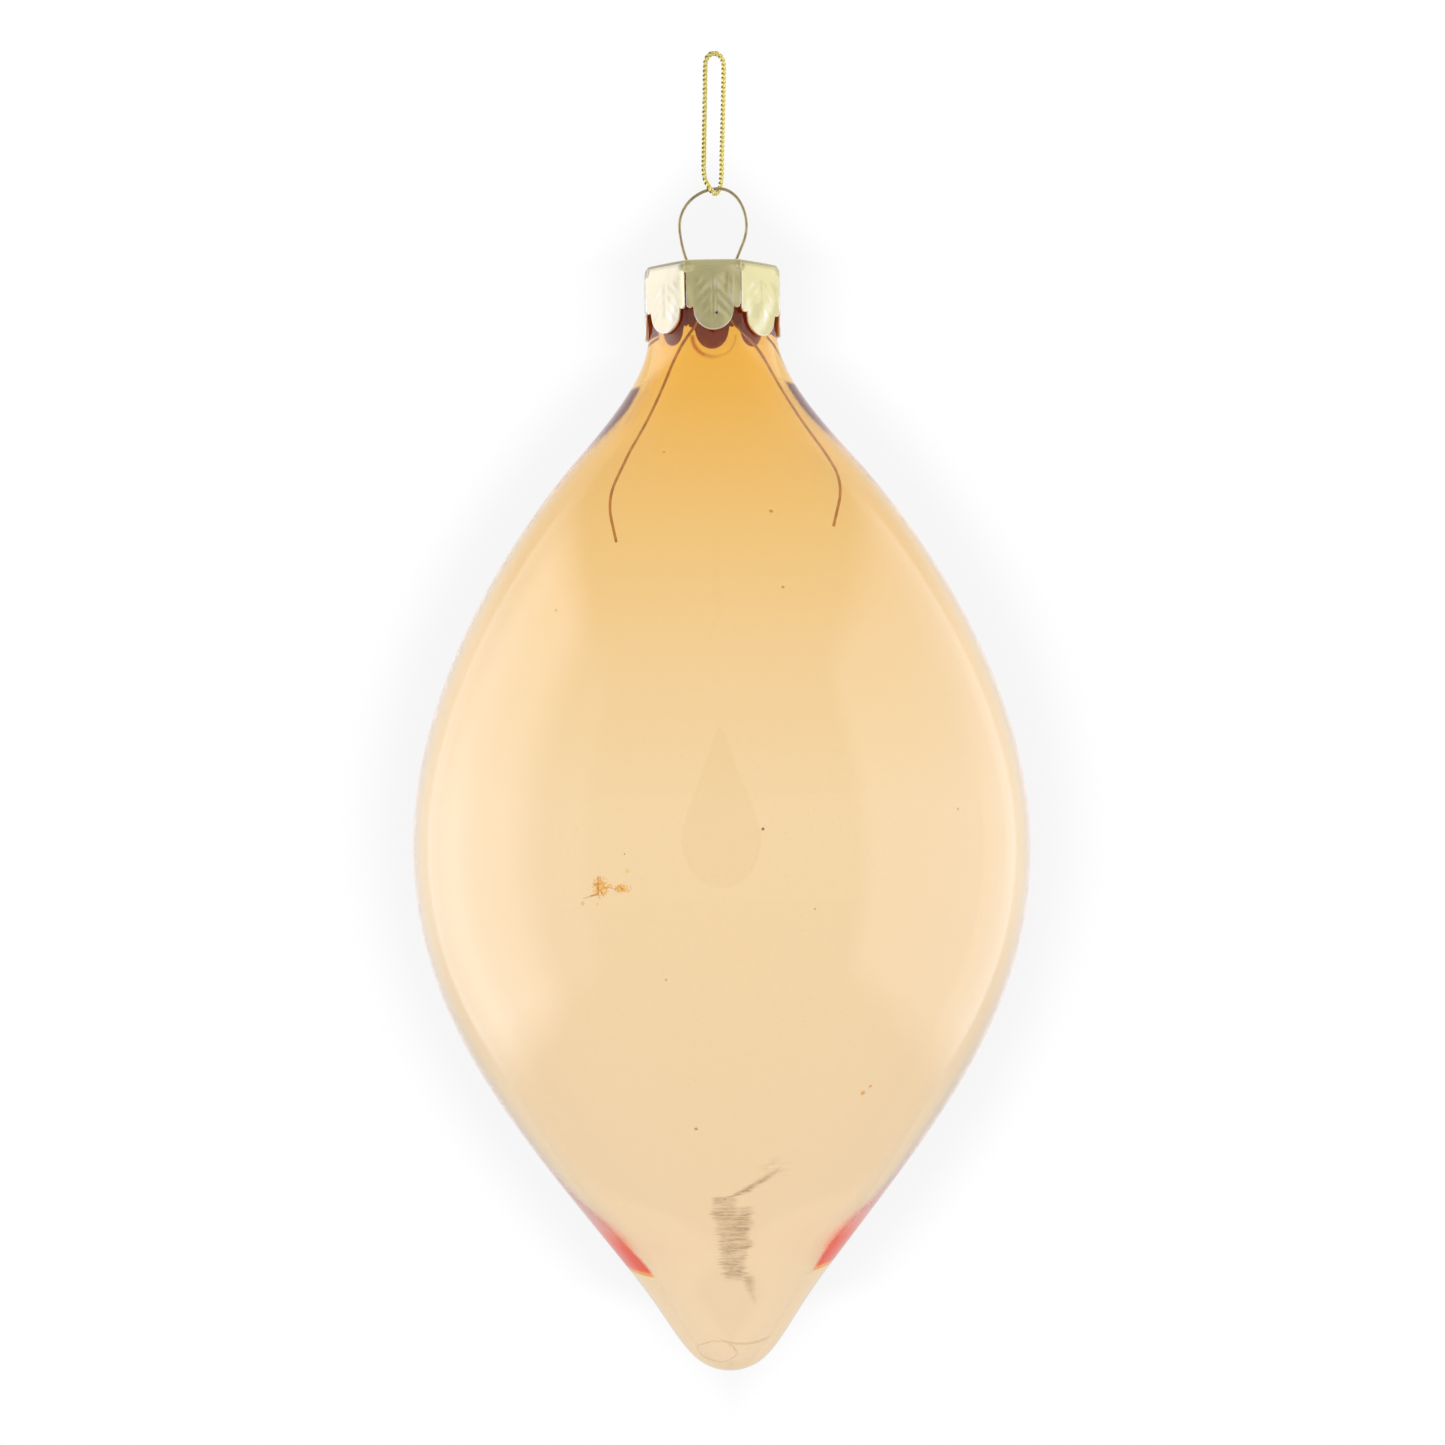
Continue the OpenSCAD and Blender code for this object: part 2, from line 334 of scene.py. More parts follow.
def wire_route(sizes):
    """The line of the wire: up the left leg, round the eye and down the right leg."""
    wire, top = sizes.wire, levels(sizes)["cap_top"]
    walls = drop_walls(sizes)
    hole = wire.hole_gap / 2
    lean, upright_from = math.tan(wire.hole_slant), 1.1 * MM
    left = Vector((wire.eye_shift - wire.eye_width / 2, -wire.eye_middle))
    right = Vector((wire.eye_shift + wire.eye_width / 2, -wire.eye_middle))
    crown = Vector((wire.eye_shift + wire.eye_lean, wire.diameter / 2))

    def side(x):
        return Vector((x, top + (abs(x) - hole) / lean))

    def bend_end(mid):
        meeting = side(mid.x)
        to_hole = Vector((math.copysign(hole, mid.x), top)) - meeting
        return meeting + to_hole.normalized() * (mid - meeting).length

    eye = [Vector((-hole, top))] + corner(bend_end(left), side(left.x), left, 16)
    eye += corner(left, Vector((left.x, crown.y)), crown, 22)
    eye += corner(crown, Vector((right.x, crown.y)), right, 20)
    eye += corner(right, side(right.x), bend_end(right), 16) + [bend_end(right)]

    def leg(lower):
        start = hole - upright_from * lean
        throat = top - wire.throat_drop
        knee = Vector((0, top - wire.knee_drop - lower))
        knee.x = bore_at(walls, knee.y) - wire.knee_gap
        return [
            Vector((start, top - upright_from)),
            Vector((start, top - wire.splay_drop)),
            Vector((bore_at(walls, throat) - wire.throat_gap, throat)),
            knee,
            knee + down(-wire.foot_slant) * wire.foot_length,
        ]

    def about(point, angle):
        return Vector((point.x * math.cos(angle), point.x * math.sin(angle), point.y))

    def bent(path, reach):
        line = []
        for before, here, after, size in zip(path, path[1:], path[2:], reach):
            back = here + (before - here).normalized() * size
            ahead = here + (after - here).normalized() * size
            for t in [i / 8 for i in range(9)]:
                line.append(back * (1 - t) ** 2 + here * (2 * t * (1 - t)) + ahead * t * t)
        return line + [path[-1]]

    reach = [0.5 * MM, 1.2 * MM, 1.6 * MM, 2.2 * MM]
    right_leg = bent([Vector((hole, 0, top))] + [about(p, 0.0) for p in leg(0.0)], reach)
    corners = leg(wire.left_drop)
    turn = math.pi - wire.leg_twist
    left_leg = bent(
        [Vector((-hole, 0, top)), Vector((-corners[0].x, 0, corners[0].y))]
        + [about(p, turn) for p in corners[1:]],
        reach,
    )
    ring = [Vector((p.x, 0, p.y)) for p in eye]
    return left_leg[::-1] + ring + [Vector((hole, 0, top))] + right_leg


CORD_ROUTE = [
    (0.45, 0, -0.34), (0.2, -0.32, -0.22), (-0.02, -0.44, 0.06), (-0.22, -0.44, 0.4),
    (-0.4, -0.4, 0.8), (-0.54, -0.34, 1.3), (-0.6, -0.25, 2), (-0.58, -0.15, 3),
    (-0.53, -0.05, 4.5), (-0.47, 0, 6.5), (-0.4, 0, 8.5), (-0.34, 0, 10.5),
    (-0.29, 0, 12), (-0.25, 0, 12.8), (-0.02, 0, 13.35), (0.35, 0, 13.64),
    (0.75, 0, 13.68), (1.15, 0, 13.47), (1.45, 0, 13.05), (1.57, 0, 12.4),
    (1.55, 0, 11.4), (1.48, 0, 9.5), (1.4, 0, 7.5), (1.32, 0, 5.5), (1.25, 0.05, 4),
    (1.2, 0.15, 2.8), (1.18, 0.28, 1.8), (1.12, 0.37, 1.1), (1.05, 0.43, 0.6),
    (0.92, 0.44, 0.16), (0.7, 0.3, -0.2),
]


def even_loop(route, count):
    """A closed route as evenly spaced points on a smooth curve through it."""
    points = [Vector(p) * MM for p in route]
    dense = []
    total = len(points)
    for i in range(total):
        a, b, c, d = (points[(i + k) % total] for k in (-1, 0, 1, 2))
        for t in [k / 12 for k in range(12)]:
            bend = (2 * a - 5 * b + 4 * c - d) * t * t + (3 * b - a - 3 * c + d) * t * t * t
            dense.append(b + ((c - a) * t + bend) / 2)
    dense.append(dense[0].copy())
    lengths = [0.0]
    for a, b in zip(dense, dense[1:]):
        lengths.append(lengths[-1] + (b - a).length)
    found, k = [], 0
    for i in range(count):
        want = lengths[-1] * i / count
        while lengths[k + 1] < want:
            k += 1
        share = (want - lengths[k]) / (lengths[k + 1] - lengths[k])
        found.append(dense[k].lerp(dense[k + 1], share))
    return found, lengths[-1]


def add_piece(name, points, faces, materials, cad_node):
    """Makes an object from points and faces, and sets it in place of a CAD node."""
    mesh = bpy.data.meshes.new(name)
    mesh.from_pydata([tuple(p) for p in points], [], faces)
    mesh.validate()
    piece = bpy.data.objects.new(name, mesh)
    bpy.context.scene.collection.objects.link(piece)
    for material in materials:
        mesh.materials.append(material)
    for polygon in mesh.polygons:
        polygon.use_smooth = True
    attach(piece, "root")
    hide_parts(cad_node)
    return piece


def face_outwards(mesh, joined=0.0):
    """Joins points that are closer than a distance, and turns all faces outwards."""
    form = bmesh.new()
    form.from_mesh(mesh)
    if joined:
        bmesh.ops.remove_doubles(form, verts=form.verts, dist=joined)
    bmesh.ops.recalc_face_normals(form, faces=form.faces)
    form.to_mesh(mesh)
    form.free()


def swept(route, radius, sides, closed=False):
    """A round bar along a route, whose section turns as little as it can."""
    total = len(route)
    points, faces = [], []
    across = Vector((0, 1, 0))
    for i, point in enumerate(route):
        if closed:
            along = route[(i + 1) % total] - route[i - 1]
        else:
            along = route[min(i + 1, total - 1)] - route[max(i - 1, 0)]
        along.normalize()
        across = (across - along * across.dot(along)).normalized()
        up = along.cross(across)
        for j in range(sides):
            a = 2 * math.pi * j / sides
            points.append(point + (across * math.cos(a) + up * math.sin(a)) * radius)
    for i in range(total if closed else total - 1):
        here, following = i * sides, (i + 1) % total * sides
        for j in range(sides):
            beside = (j + 1) % sides
            faces.append((here + j, here + beside, following + beside, following + j))
    if not closed:
        faces.append(tuple(range(sides - 1, -1, -1)))
        faces.append(tuple((total - 1) * sides + j for j in range(sides)))
    return points, faces


# Sizes and colours


def length(text, default, about=""):
    return FloatProperty(
        name=text, description=about or text, default=default, unit="LENGTH", precision=5
    )


def angle(text, degrees, about):
    return FloatProperty(
        name=text, description=about, default=math.radians(degrees), subtype="ANGLE"
    )


def amount(text, default, about):
    return FloatProperty(name=text, description=about, default=default)


def colour(text, default, about):
    return FloatVectorProperty(
        name=text, description=about, default=default, size=3, subtype="COLOR", min=0, max=1
    )


class GlassDrop(bpy.types.PropertyGroup):
    """The blown glass drop."""

    neck_diameter: length("Neck diameter", 0.0129, "Outside diameter of the neck")
    neck_length: length("Neck length", 0.0062, "Straight length of the neck")
    throat_height: length("Throat height", 0.0126, "From the neck to the turn into the shoulder")
    turn_radius: length("Turn radius", 0.014, "Radius of the drop at that turn")
    shoulder_slant: angle("Shoulder slant", 41.5, "Slant of the shoulder from upright")
    widest_height: length("Widest level", 0.051, "From the neck to the widest level")
    belly_diameter: length("Belly diameter", 0.0614, "Diameter at the widest level")
    lower_height: length("Lower height", 0.0524, "From the widest level to the tip")
    cone_height: length("Cone height", 0.0101, "Height above the tip where the cone is straightest")
    cone_radius: length("Cone radius", 0.0098, "Radius of the drop at that height")
    cone_slant: angle("Cone slant", 37, "Slant of the lower cone from upright")
    tip_radius: length("Tip radius", 0.0053, "Radius of the rounded tip")
    wall: length("Wall", 0.0003, "Thickness of the blown wall in the shoulder and the belly")
    neck_wall: length("Neck wall", 0.0008, "Thickness of the wall in the neck")
    tip_wall: length("Tip wall", 0.00075, "Thickness of the wall at the tip")
    gather_height: length("Gather height", 0.019, "Height above the tip where the wall thickens")
    neck_tint: colour("Neck tint", (0.94, 0.475, 0.054), "What both walls let through at the neck")
    middle_tint: colour("Middle tint", (1.0, 0.735, 0.415), "What both let through at the middle")
    tip_tint: colour("Tip tint", (0.965, 0.715, 0.43), "What both walls let through at the tip")


class PetalCap(bpy.types.PropertyGroup):
    """The pressed metal cap."""

    thickness: length("Thickness", 0.00022, "Thickness of the pressed metal")
    play: length("Play", 0.00008, "Play between the petals and the neck")
    height: length("Height", 0.00695, "From the top to the lowest point of a petal")
    edge: length("Edge", 0.0007, "Rounding of the top edge")
    petals: IntProperty(
        name="Petals", description="Number of petals round the skirt", default=8, min=7, max=9
    )
    turn: angle("Turn", 1.0, "Turn of the petals about the axis")
    slit_width: length("Slit width", 0.00012, "Width of the slit between two petals")
    open_slit: length("Open slit", 0.00024, "Width of the one slit that is sprung open")
    slit_drop: length("Slit drop", 0.0012, "From the top to the upper end of a slit")
    lobe: length("Lobe radius", 0.00195, "Radius of the round end of a petal")
    scallop: length("Scallop radius", 0.00035, "Radius of the scallop on each side of a petal")
    scallop_height: length("Scallop height", 0.0025, "Height of the scallops above a petal's end")
    dent: length("Dent depth", 0.00020, "Depth of the dent at each corner")
    metal: colour("Metal", (0.81, 0.725, 0.365), "Colour of the lacquered metal")


class WireHanger(bpy.types.PropertyGroup):
    """The sprung wire."""

    diameter: length("Wire diameter", 0.0003)
    eye_height: length("Eye height", 0.008, "From the cap to the underside of the eye's top")
    eye_width: length("Eye width", 0.0067, "Width of the eye between wire centres")
    eye_middle: length("Eye middle", 0.0036, "From the origin to the widest level of the eye")
    eye_shift: length("Eye shift", 0.0002, "Sideways offset of the eye's middle")
    eye_lean: length("Eye lean", 0.00065, "Sideways offset of the eye's top")
    hole_gap: length("Hole distance", 0.0041, "Distance between the two wire holes")
    hole_size: length("Hole diameter", 0.0008, "Diameter of a wire hole")
    hole_slant: angle("Hole slant", 23, "Slant of the wire in its hole")
    splay_drop: length("Splay drop", 0.0049, "From the cap's top to where a leg splays")
    throat_drop: length("Throat drop", 0.0079, "From the cap's top to the bend in the throat")
    throat_gap: length("Throat gap", 0.0013, "From the wire to the glass at that bend")
    knee_drop: length("Knee drop", 0.0214, "From the cap's top to the knee")
    knee_gap: length("Knee gap", 0.0027, "From the wire to the glass at the knee")
    foot_length: length("Foot length", 0.0046, "Length of the foot below the knee")
    foot_slant: angle("Foot slant", 14, "Slant of the foot, back to the axis")
    leg_twist: angle("Leg twist", 33, "Turn of the left leg towards the back")
    left_drop: length("Left drop", 0.0007, "Extra drop of the left leg's knee")
    metal: colour("Metal", (0.52, 0.42, 0.24), "Colour of the spring wire")


class HangingCord(bpy.types.PropertyGroup):
    """The plaited metallic thread."""

    diameter: length("Cord diameter", 0.00055)
    pitch: length("Plait length", 0.00135, "Length of one turn of the plait")
    # The two foil colours are painted light: the first is the painted highlight where a strand
    # rides up and faces the light, the second the painted shade between the strands.
    bright: colour("Bright foil", (0.90, 0.77, 0.25), "Colour of the foil where it faces the light")
    dull: colour("Dull foil", (0.22, 0.17, 0.035), "Colour of the foil between the strands")


class Studio(bpy.types.PropertyGroup):
    """The camera and the lights."""

    distance: length("Camera distance", 0.255, "From the camera to the ornament's axis")
    height: length("Camera height", -0.05325)
    shift: length("Camera shift", 0.00029, "Sideways place of the camera")
    half_view: amount("Half view", 0.2834, "Half the frame's width over the distance")
    roll: angle("Roll", -1.0, "Turn of the camera about its own line of sight")
    floor: length("Floor", -0.45, "Height of the floor")
    room: amount("Room", 0.6, "Brightness of the room's light")
    left: amount("Left panel", 2.8, "Brightness of the left panel in glass and metal")
    right: amount("Right panel", 1.65, "Brightness of the right panel in glass and metal")
    shown: amount("Room in gloss", 0.7, "Brightness of the room in glass and metal")
    stand: amount("Dark stand", 0.12, "Brightness of the stand behind the camera")


class Ornament(bpy.types.PropertyGroup):
    """All the ornament's sizes and colours."""

    drop: PointerProperty(type=GlassDrop)
    cap: PointerProperty(type=PetalCap)
    wire: PointerProperty(type=WireHanger)
    cord: PointerProperty(type=HangingCord)
    studio: PointerProperty(type=Studio)


# Stage


def seen_rays(finish):
    """1 for rays from the camera and for what glass and metal show."""
    camera, glossy, through = (
        finish.node("LightPath", output=name)
        for name in ("Is Camera Ray", "Is Glossy Ray", "Is Transmission Ray")
    )
    return finish.least(camera + glossy + through, 1.0)


def white_when_seen(finish, shader, strength, share=1.0):
    """A shader that the camera, and what glass and metal show, sees as plain white."""
    return finish.mixed(seen_rays(finish) * share, shader, finish.glow(strength))


def mirrored(finish):
    """1 for rays that glass or metal has thrown back."""
    return finish.least(finish.node("LightPath", output="Glossy Depth"), 1.0)


def dimmed_in_gloss(finish, shader, level):
    """The same shader, but at a plain grey level in what gloss shows."""
    return finish.mixed(mirrored(finish), shader, finish.glow(level))


def stage_piece(name, points, faces, finish, hidden_from=()):
    """Makes an object of the stage, hidden from some kinds of rays."""
    mesh = bpy.data.meshes.new(name)
    mesh.from_pydata(points, [], faces)
    mesh.materials.append(finish.material)
    piece = bpy.data.objects.new(name, mesh)
    bpy.context.scene.collection.objects.link(piece)
    for ray in hidden_from:
        setattr(piece, "visible_" + ray, False)
    return piece


def lay_world(studio):
    """A white room, which is dimmer in the light it gives and in gloss."""
    world = bpy.data.worlds.new("studio_white")
    world.use_nodes = True
    bpy.context.scene.world = world
    finish = Finish("studio_white", world.node_tree)
    room, seen, shown = (
        finish.node("Background", None, {"Color": (1, 1, 1, 1), "Strength": strength})
        for strength in (studio.room, 1.0, studio.shown)
    )
    back = finish.mixed(seen_rays(finish), room, seen)
    finish.surface(finish.mixed(mirrored(finish), back, shown), "OutputWorld")


def lay_floor(studio):
    """A round white floor that is seen almost as plain white."""
    finish = Finish("floor_white")
    paper = finish.noise(finish.place()[0], 40, 3)
    tone = finish.blend(paper, (0.80, 0.80, 0.80), (0.84, 0.84, 0.84))
    plain = finish.principled(Base_Color=tone, Roughness=1.0, Specular_IOR_Level=0.0)
    seen = white_when_seen(finish, plain, 1.0, 0.9)
    finish.surface(dimmed_in_gloss(finish, seen, studio.shown * 0.9))
    radius = 1.6
    ring = [
        (radius * math.cos(a), radius * math.sin(a), studio.floor)
        for a in [math.radians(5 * i) for i in range(72)]
    ]
    stage_piece("floor", ring, [tuple(range(len(ring)))], finish)


def lay_backdrop(studio):
    """A white wall behind, with a painted shadow: a little greyer close round the ornament."""
    finish = Finish("backdrop_white")
    x, z = finish.place()[1][0], finish.place()[1][2]
    # Painted shadow: a soft egg-shaped patch round the ornament's outline is greyer than the wall
    # beyond it.
    middle, half_height, half_width, soft = -0.083, 0.149, 0.0855, 0.0235
    narrowest, lifted, reach = 0.21, 0.108, 0.945
    up = (z - middle) / half_height
    outline = finish.most(1 - up * up, narrowest) * half_width
    beyond = finish.most(abs(up - lifted) - reach, 0.0) * half_height
    share = finish.step(abs(x) - outline + beyond, 0.0, soft)
    plain = finish.node("BsdfDiffuse", None, {"Color": (0.8, 0.8, 0.8, 1)})
    painted_shadow_close, behind, far = (white_when_seen(finish, plain, level) for level in (0.92, 0.95, 1.0))
    through = finish.node("LightPath", output="Is Transmission Ray")
    seen = finish.mixed(share, finish.mixed(through, painted_shadow_close, behind), far)
    level = finish.step(z, -0.30, -0.12) * (1 - finish.step(z, 0.10, 0.25) * 0.5)
    low, high = (dimmed_in_gloss(finish, seen, studio.shown * part) for part in (1.02, 1.37))
    finish.surface(finish.mixed(level, low, high))
    wide, y, top = 0.6, 0.45, 0.6
    corners = [(-wide, y, studio.floor), (wide, y, studio.floor), (wide, y, top), (-wide, y, top)]
    stage_piece("backdrop", corners, [(0, 1, 2, 3)], finish)


def lay_dark_stand(studio):
    """The dim stand behind the camera. Only what glass and metal throw back shows it."""
    finish = Finish("dark_stand")
    finish.surface(finish.glow(studio.stand))
    y, low, high = -0.262, -0.109, 0.094
    side = [
        (0.022, -0.106), (0.040, -0.096), (0.054, -0.078), (0.062, -0.056), (0.061, -0.040),
        (0.052, -0.015), (0.038, 0.016), (0.022, 0.050), (0.008, 0.082),
    ]
    points = [(0, y, low), *((x, y, z) for x, z in side)]
    points += [(0, y, high), *((-x, y, z) for x, z in reversed(side))]
    hidden_from = ("camera", "diffuse", "transmission", "shadow", "volume_scatter")
    stage_piece("dark_stand", points, [tuple(range(len(points)))], finish, hidden_from)


def lay_panel(name, x, brightness, edges, core=None):
    """A soft panel light beside the ornament.

    The edges are front, back, low and high, each as two places that it fades between.
    The core is the part of its depth that glass and metal show at full brightness.
    """
    finish = Finish(name)
    _, y, z = finish.place()[1]
    front, back, low, high = edges
    light, in_room, outer_share = (0.90, 0.93, 1.0), 1.1, 0.42
    strengths = in_room, brightness * outer_share, brightness
    plain, dim, full = (finish.glow(strength, light) for strength in strengths)
    lit = finish.step(y, *core[:2]) * (1 - finish.step(y, *core[2:]) * 0.75) if core else 1.0
    tone = finish.mixed(mirrored(finish), plain, finish.mixed(lit, dim, full))
    share = finish.between(y, *front, *back) * finish.between(z, *low, *high)
    finish.surface(finish.mixed(share, finish.clear(), tone))
    near, far, bottom, top = front[0], back[1], low[0], high[1]
    corners = [(x, near, bottom), (x, far, bottom), (x, far, top), (x, near, top)]
    if x > 0:
        corners.reverse()
    stage_piece(name, corners, [(0, 1, 2, 3)], finish, ("camera", "transmission"))


class ORNAMENT_OT_stage(bpy.types.Operator):
    """Sets the camera, the white floor and backdrop, and the two soft panels"""

    bl_idname = "ornament.stage"
    bl_label = "Stage"

    def execute(self, context):
        studio = context.scene.ornament.studio
        view = bpy.data.cameras.new("front_camera")
        view.sensor_width = 36
        view.lens = 18 / studio.half_view
        view.clip_start = 0.01
        camera = bpy.data.objects.new("front_camera", view)
        context.scene.collection.objects.link(camera)
        camera.matrix_world = (
            Matrix.Translation((studio.shift, -studio.distance, studio.height))
            @ Matrix.Rotation(math.pi / 2, 4, "X")
            @ Matrix.Rotation(studio.roll, 4, "Z")
        )
        context.scene.camera = camera
        context.scene.view_settings.view_transform = "Standard"
        lay_world(studio)
        lay_floor(studio)
        lay_backdrop(studio)
        lay_dark_stand(studio)
        behind = (0.36, 0.44), (studio.floor + 0.01, -0.30), (0.27, 0.42)
        core = (-0.22, -0.03, 0.10, 0.34)
        lay_panel("left_panel", -0.40, studio.left, ((-0.42, -0.30), *behind), core)
        lay_panel("right_panel", 0.40, studio.right, ((-0.38, -0.26), *behind))
        return {"FINISHED"}


# Cord


def foil_finish(cord):
    """Gold foil, with a painted highlight on the faces of the strands, painted shade between them
    and painted glints along the wraps.
    """
    finish = Finish("gold_cord")
    point = finish.place()[0]
    # Painted light: the per-point share that picks the painted highlight or the painted shade.
    strand = finish.node("Attribute", {"attribute_name": "painted_strand_light"}, output="Fac")
    flakes = finish.noise(point, 5200, 3, 0.7)
    painted_wrap_glints = finish.noise(finish.stretched(point, (1, 1, 3.2)), 2600, 1, 0.4)
    lit = finish.step(strand * 0.62 + flakes * 0.38, 0.36, 0.62)
    tone = finish.blend(lit, tuple(cord.dull), tuple(cord.bright))
    # Painted glints: pale streaks along the wraps.
    tone = finish.blend(finish.step(painted_wrap_glints, 0.55, 0.66) * 0.6, tone, (0.98, 0.93, 0.62))
    rough = 0.22 + flakes * 0.22
    bump = finish.bump(flakes, 0.35, 0.03)
    return finish.surface(
        finish.principled(Base_Color=tone, Metallic=0.85, Roughness=rough, Normal=bump)
    )


class ORNAMENT_OT_cord(bpy.types.Operator):
    """Plaits three strands of gold foil thread round the loop"""

    bl_idname = "ornament.cord"
    bl_label = "Hanging Cord"

    def execute(self, context):
        cord = context.scene.ornament.cord
        count = 440
        line, total = even_loop(CORD_ROUTE, count)
        turns = round(total / cord.pitch)
        aside = Vector((1, -1, 0)).normalized()
        wide, deep, thick = (cord.diameter * share for share in (0.29, 0.16, 0.21))
        points, faces, shown = [], [], []
        for k in range(3):
            route = []
            for i, here in enumerate(line):
                along = (line[(i + 1) % count] - line[i - 1]).normalized()
                across = along.cross(aside).normalized()
                up = across.cross(along)
                phase = 2 * math.pi * (turns * i / count + k / 3)
                aside_by = across * wide * math.cos(phase) + up * deep * math.sin(2 * phase)
                route.append(here + aside_by)
                # Painted light: high where the strand rides up over the others, low where it dips
                # under them.
                shown += [0.5 + 0.5 * math.sin(2 * phase)] * 8
            more, rings = swept(route, thick, 8, True)
            rings = [tuple(v + len(points) for v in face) for face in rings]
            points += more
            faces += rings
        finishes = [foil_finish(cord)]
        piece = add_piece("gold_cord_loop", points, faces, finishes, "hanging_cord")
        layer = piece.data.attributes.new("painted_strand_light", "FLOAT", "POINT")
        layer.data.foreach_set("value", shown)
        return {"FINISHED"}


# Wire


def spring_finish(wire, cap_top):
    """Bare spring wire above the cap, with painted shade under the cap's top: darker and browner,
    as the wire looks in the shade inside the cap and the amber glass.
    """
    finish = Finish("hanger_wire")
    point, (_, _, z) = finish.place()
    drawn = finish.noise(finish.stretched(point, (1, 1, 0.15)), 9000, 2, 0.6)
    dull = finish.noise(point, 900, 3, 0.6)
    dark = tuple(value * 0.7 for value in wire.metal)
    pale = tuple(1 - (1 - value) * 0.6 for value in wire.metal)
    tone = finish.blend(finish.step(dull, 0.3, 0.72), dark, tuple(wire.metal))
    tone = finish.blend(finish.step(drawn, 0.5, 0.8) * 0.5, tone, pale)
    # Painted shade: below the cap's top the wire turns a darker brown, for the shade and the amber
    # glass round it.
    painted_shade_in_glass = 1 - finish.step(z, cap_top - 0.004, cap_top - 0.001)
    painted_amber_shade = finish.blend(finish.step(dull, 0.35, 0.65), (0.52, 0.29, 0.001), (0.76, 0.44, 0.004))
    tone = finish.blend(painted_shade_in_glass, tone, painted_amber_shade)
    return finish.surface(
        finish.principled(Base_Color=tone, Metallic=1.0, Roughness=0.28 + dull * 0.3)
    )


class ORNAMENT_OT_hanger(bpy.types.Operator):
    """Bends one spring wire into the eye and its two legs"""

    bl_idname = "ornament.hanger"
    bl_label = "Wire Hanger"

    def execute(self, context):
        sizes = context.scene.ornament
        route = wire_route(sizes)
        clean = [route[0]]
        for point in route[1:]:
            if (point - clean[-1]).length > 0.02 * MM:
                clean.append(point)
        points, faces = swept(clean, sizes.wire.diameter / 2, 16)
        finishes = [spring_finish(sizes.wire, levels(sizes)["cap_top"])]
        add_piece("spring_wire_hanger", points, faces, finishes, "hanger")
        return {"FINISHED"}


# Cap


def petal_length(index):
    """How much farther a petal reaches than its neighbours."""
    return {0: 0.0, 1: 0.42, 7: 0.03}.get(index, 0.12 * math.sin(index * 2.3)) * MM


def petal_low(cap, x, half, end):
    """The lower edge of a petal at a distance from its middle line."""
    scallop_z = end + cap.scallop_height
    low = scallop_z
    if abs(x) < cap.lobe:
        low = min(low, end + cap.lobe - math.sqrt(cap.lobe ** 2 - x * x))
    beside = abs(x) - (half - cap.slit_width - cap.scallop)
    if abs(beside) < cap.scallop:
        low = min(low, scallop_z - math.sqrt(cap.scallop ** 2 - beside * beside))
    return low


def ridge(x, place, width):
    """A rounded ridge, 1 high, that runs down a petal at a place across it; all in mm."""
    return math.exp(-(((x - place) / width) ** 2))


def pressed_leaf(index, x, z, top):
    """The relief pressed in a petal: a midrib, slanting veins and a few creases, in mm."""
    x, drop = x / MM, (top - z) / MM
    inside = held((drop - 1.4) / 0.8) * held((6.2 - drop) / 0.8) * held((2.0 - abs(x)) / 0.5)
    veins = math.cos(2 * math.pi * (drop - 1.05 * abs(x)) / 1.15)
    relief = 0.013 * veins * inside * held(abs(x) / 0.3)
    relief += (0.02 * ridge(x, 0.42, 0.12) - 0.035 * ridge(x, 0.0, 0.13)) * inside
    relief += 0.05 * noise.noise(Vector((x * 0.9 + 7.1 * index, drop * 0.55, index * 3.7)))
    if index == 0:
        folds = ridge(x, 1.66, 0.07) + ridge(x, 1.93, 0.06)
        relief += 0.045 * folds * held(4.6 - drop) - 0.04 * ridge(x, 1.25, 0.22) * held(4.0 - drop)
    if index == 1:
        relief += 0.05 * math.sin(2.2 * x + 1.3 * drop) * held((drop - 3) / 2)
    return relief


